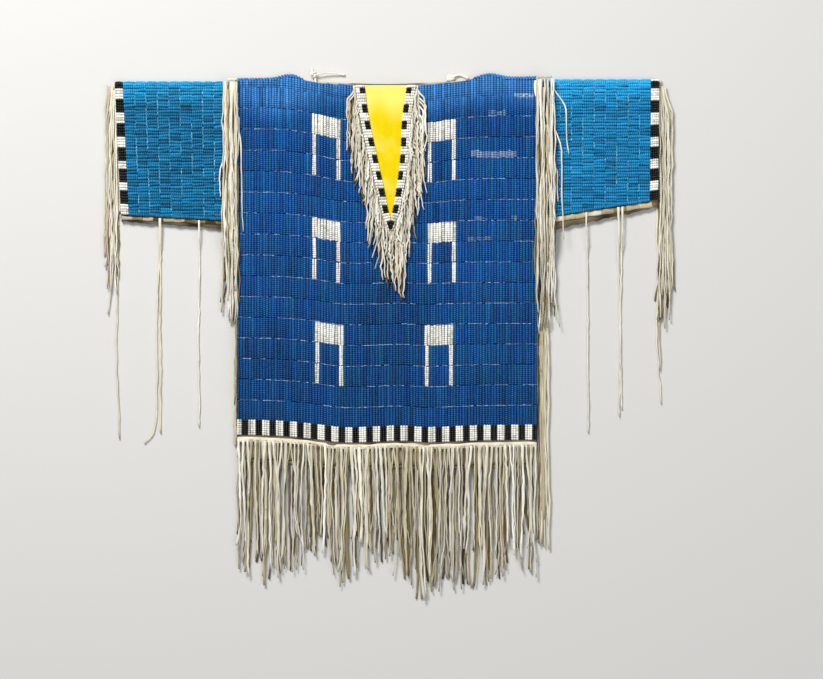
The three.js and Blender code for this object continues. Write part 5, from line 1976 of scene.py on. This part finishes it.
def build_body(room: Workroom) -> None:
    """The body's pieces, with the solids that they stand for."""
    body, hems, ties = Body(room), HemFringe(room), ShoulderTies(room)
    back, front = body.back(), body.front()
    lanes, band = body.lanes(), body.hem_band()
    front_fringe, back_fringe = hems.front(), hems.back()
    strips = [SideStrip(room, Side.LEFT, 2.6, -214.0, -286.0, 61).make(),
              SideStrip(room, Side.RIGHT, 8.6, -142.0, -368.0, 67).make()]
    knot, loop = ties.knot(), ties.loop()
    dress(back, "back_panel")
    dress(front, "front_panel")
    dress(band, "hem_band")
    for piece in lanes:
        dress(piece, "front_panel")
    dress(front_fringe, "hem_fringe_front")
    dress(back_fringe, "hem_fringe_back")
    dress(strips[0], "side_strip_left")
    dress(strips[1], "side_strip_right")
    dress(knot, "shoulder_tie_left")
    dress(loop, "shoulder_tie_right")
    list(lanes)


def build_sleeve(room: Workroom, cut: SleeveCut) -> None:
    """One sleeve's pieces, its armhole's fringe and its cuff's, with the solids that they stand for."""
    left = cut.side is Side.LEFT
    word = cut.side.word
    if left:
        whites = ((-5.6, -14.8), (-24.8, -33.2), (-43.2, -51.6), (-62.8, -69.6), (-80.0, -87.2),
                  (-97.6, -105.6))
        sleeve = Sleeve(room, cut, 101, whites)
        thongs = ((150.4, 151.0, -276.0, 0.0), (181.4, 181.4, -281.0, 0.0), (182.0, 184.4, -289.5, 9.5))
        strays = ((121.0, -26.0, 116.5, -120.0), (128.5, -50.0, 133.6, -92.0), (124.0, -8.0, 118.2, -62.0))
        armhole = ArmholeFringe(room, cut.side, 2.5, -196.0, -258.0, 0.4, 119.4, 130.2, strays, 31)
        cuff = CuffFringe(room, cut, -104.0, -172.0, -286.0, 9.8, 37)
    else:
        whites = ((3.2, 0.4), (-4.8, -15.6), (-25.2, -34.8), (-43.2, -51.6), (-61.6, -69.2), (-79.2, -86.2))
        tans = (Tan.BUFF, Tan.CREAM, Tan.BUFF, Tan.BUFF, Tan.CREAM, Tan.BUFF, Tan.OLIVE, Tan.BUFF, Tan.BUFF)
        sleeve = Sleeve(room, cut, 103, whites, 0.42, 4.4, tans)
        thongs = ((159.6, 161.0, -281.0, 0.0), (185.2, 186.4, -268.0, 0.0), (188.4, 187.6, -262.0, 0.5))
        strays = ((131.0, 1.5, 143.4, -58.0), (132.5, -30.0, 139.6, -126.0), (131.0, -50.0, 136.4, -96.0))
        armhole = ArmholeFringe(room, cut.side, 4.5, -206.0, -232.0, 1.9, 119.8, 133.8, strays, 43,
                                patch=True)
        cuff = CuffFringe(room, cut, -92.0, -202.0, -258.0, 11.6, 47, spread=0.5, second=-231.0, drift=0.8)
    hide, beads, band, edge = sleeve.hide(), sleeve.beads(), sleeve.band(), sleeve.edge(thongs)
    hung, tail = armhole.make(), cuff.make()
    dress(hide, f"sleeve_{word}")
    dress(beads, f"sleeve_{word}")
    dress(band, f"cuff_band_{word}")
    dress(edge, f"sleeve_edge_{word}")
    dress(hung, f"armhole_fringe_{word}")
    dress(tail, f"cuff_fringe_{word}")


def build_bib(room: Workroom) -> None:
    """The bib's pieces, with the solids that they stand for."""
    bib = Bib(room)
    hide, band, fringe = bib.hide(), bib.band(), bib.fringe()
    dress(hide, "bib")
    dress(band, "bib_band")
    dress(fringe, "bib_fringe")


def main() -> None:
    """Builds the studio and the shirt."""
    logging.basicConfig(level=logging.INFO, format="%(message)s")
    place = Placing.from_frame()
    studio = Studio(place)
    studio.camera()
    studio.lights()
    studio.floor()
    room = Workroom(place, Finishes())
    build_body(room)
    build_sleeve(room, LEFT_SLEEVE)
    build_sleeve(room, RIGHT_SLEEVE)
    build_bib(room)
    boxes = {"frame": START_BOX, "shown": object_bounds()}
    sizes = {name: [list(corner) for corner in box] for name, box in boxes.items()}
    LOG.info("sizes: %s", sizes)


if __name__ == "__main__":
    main()
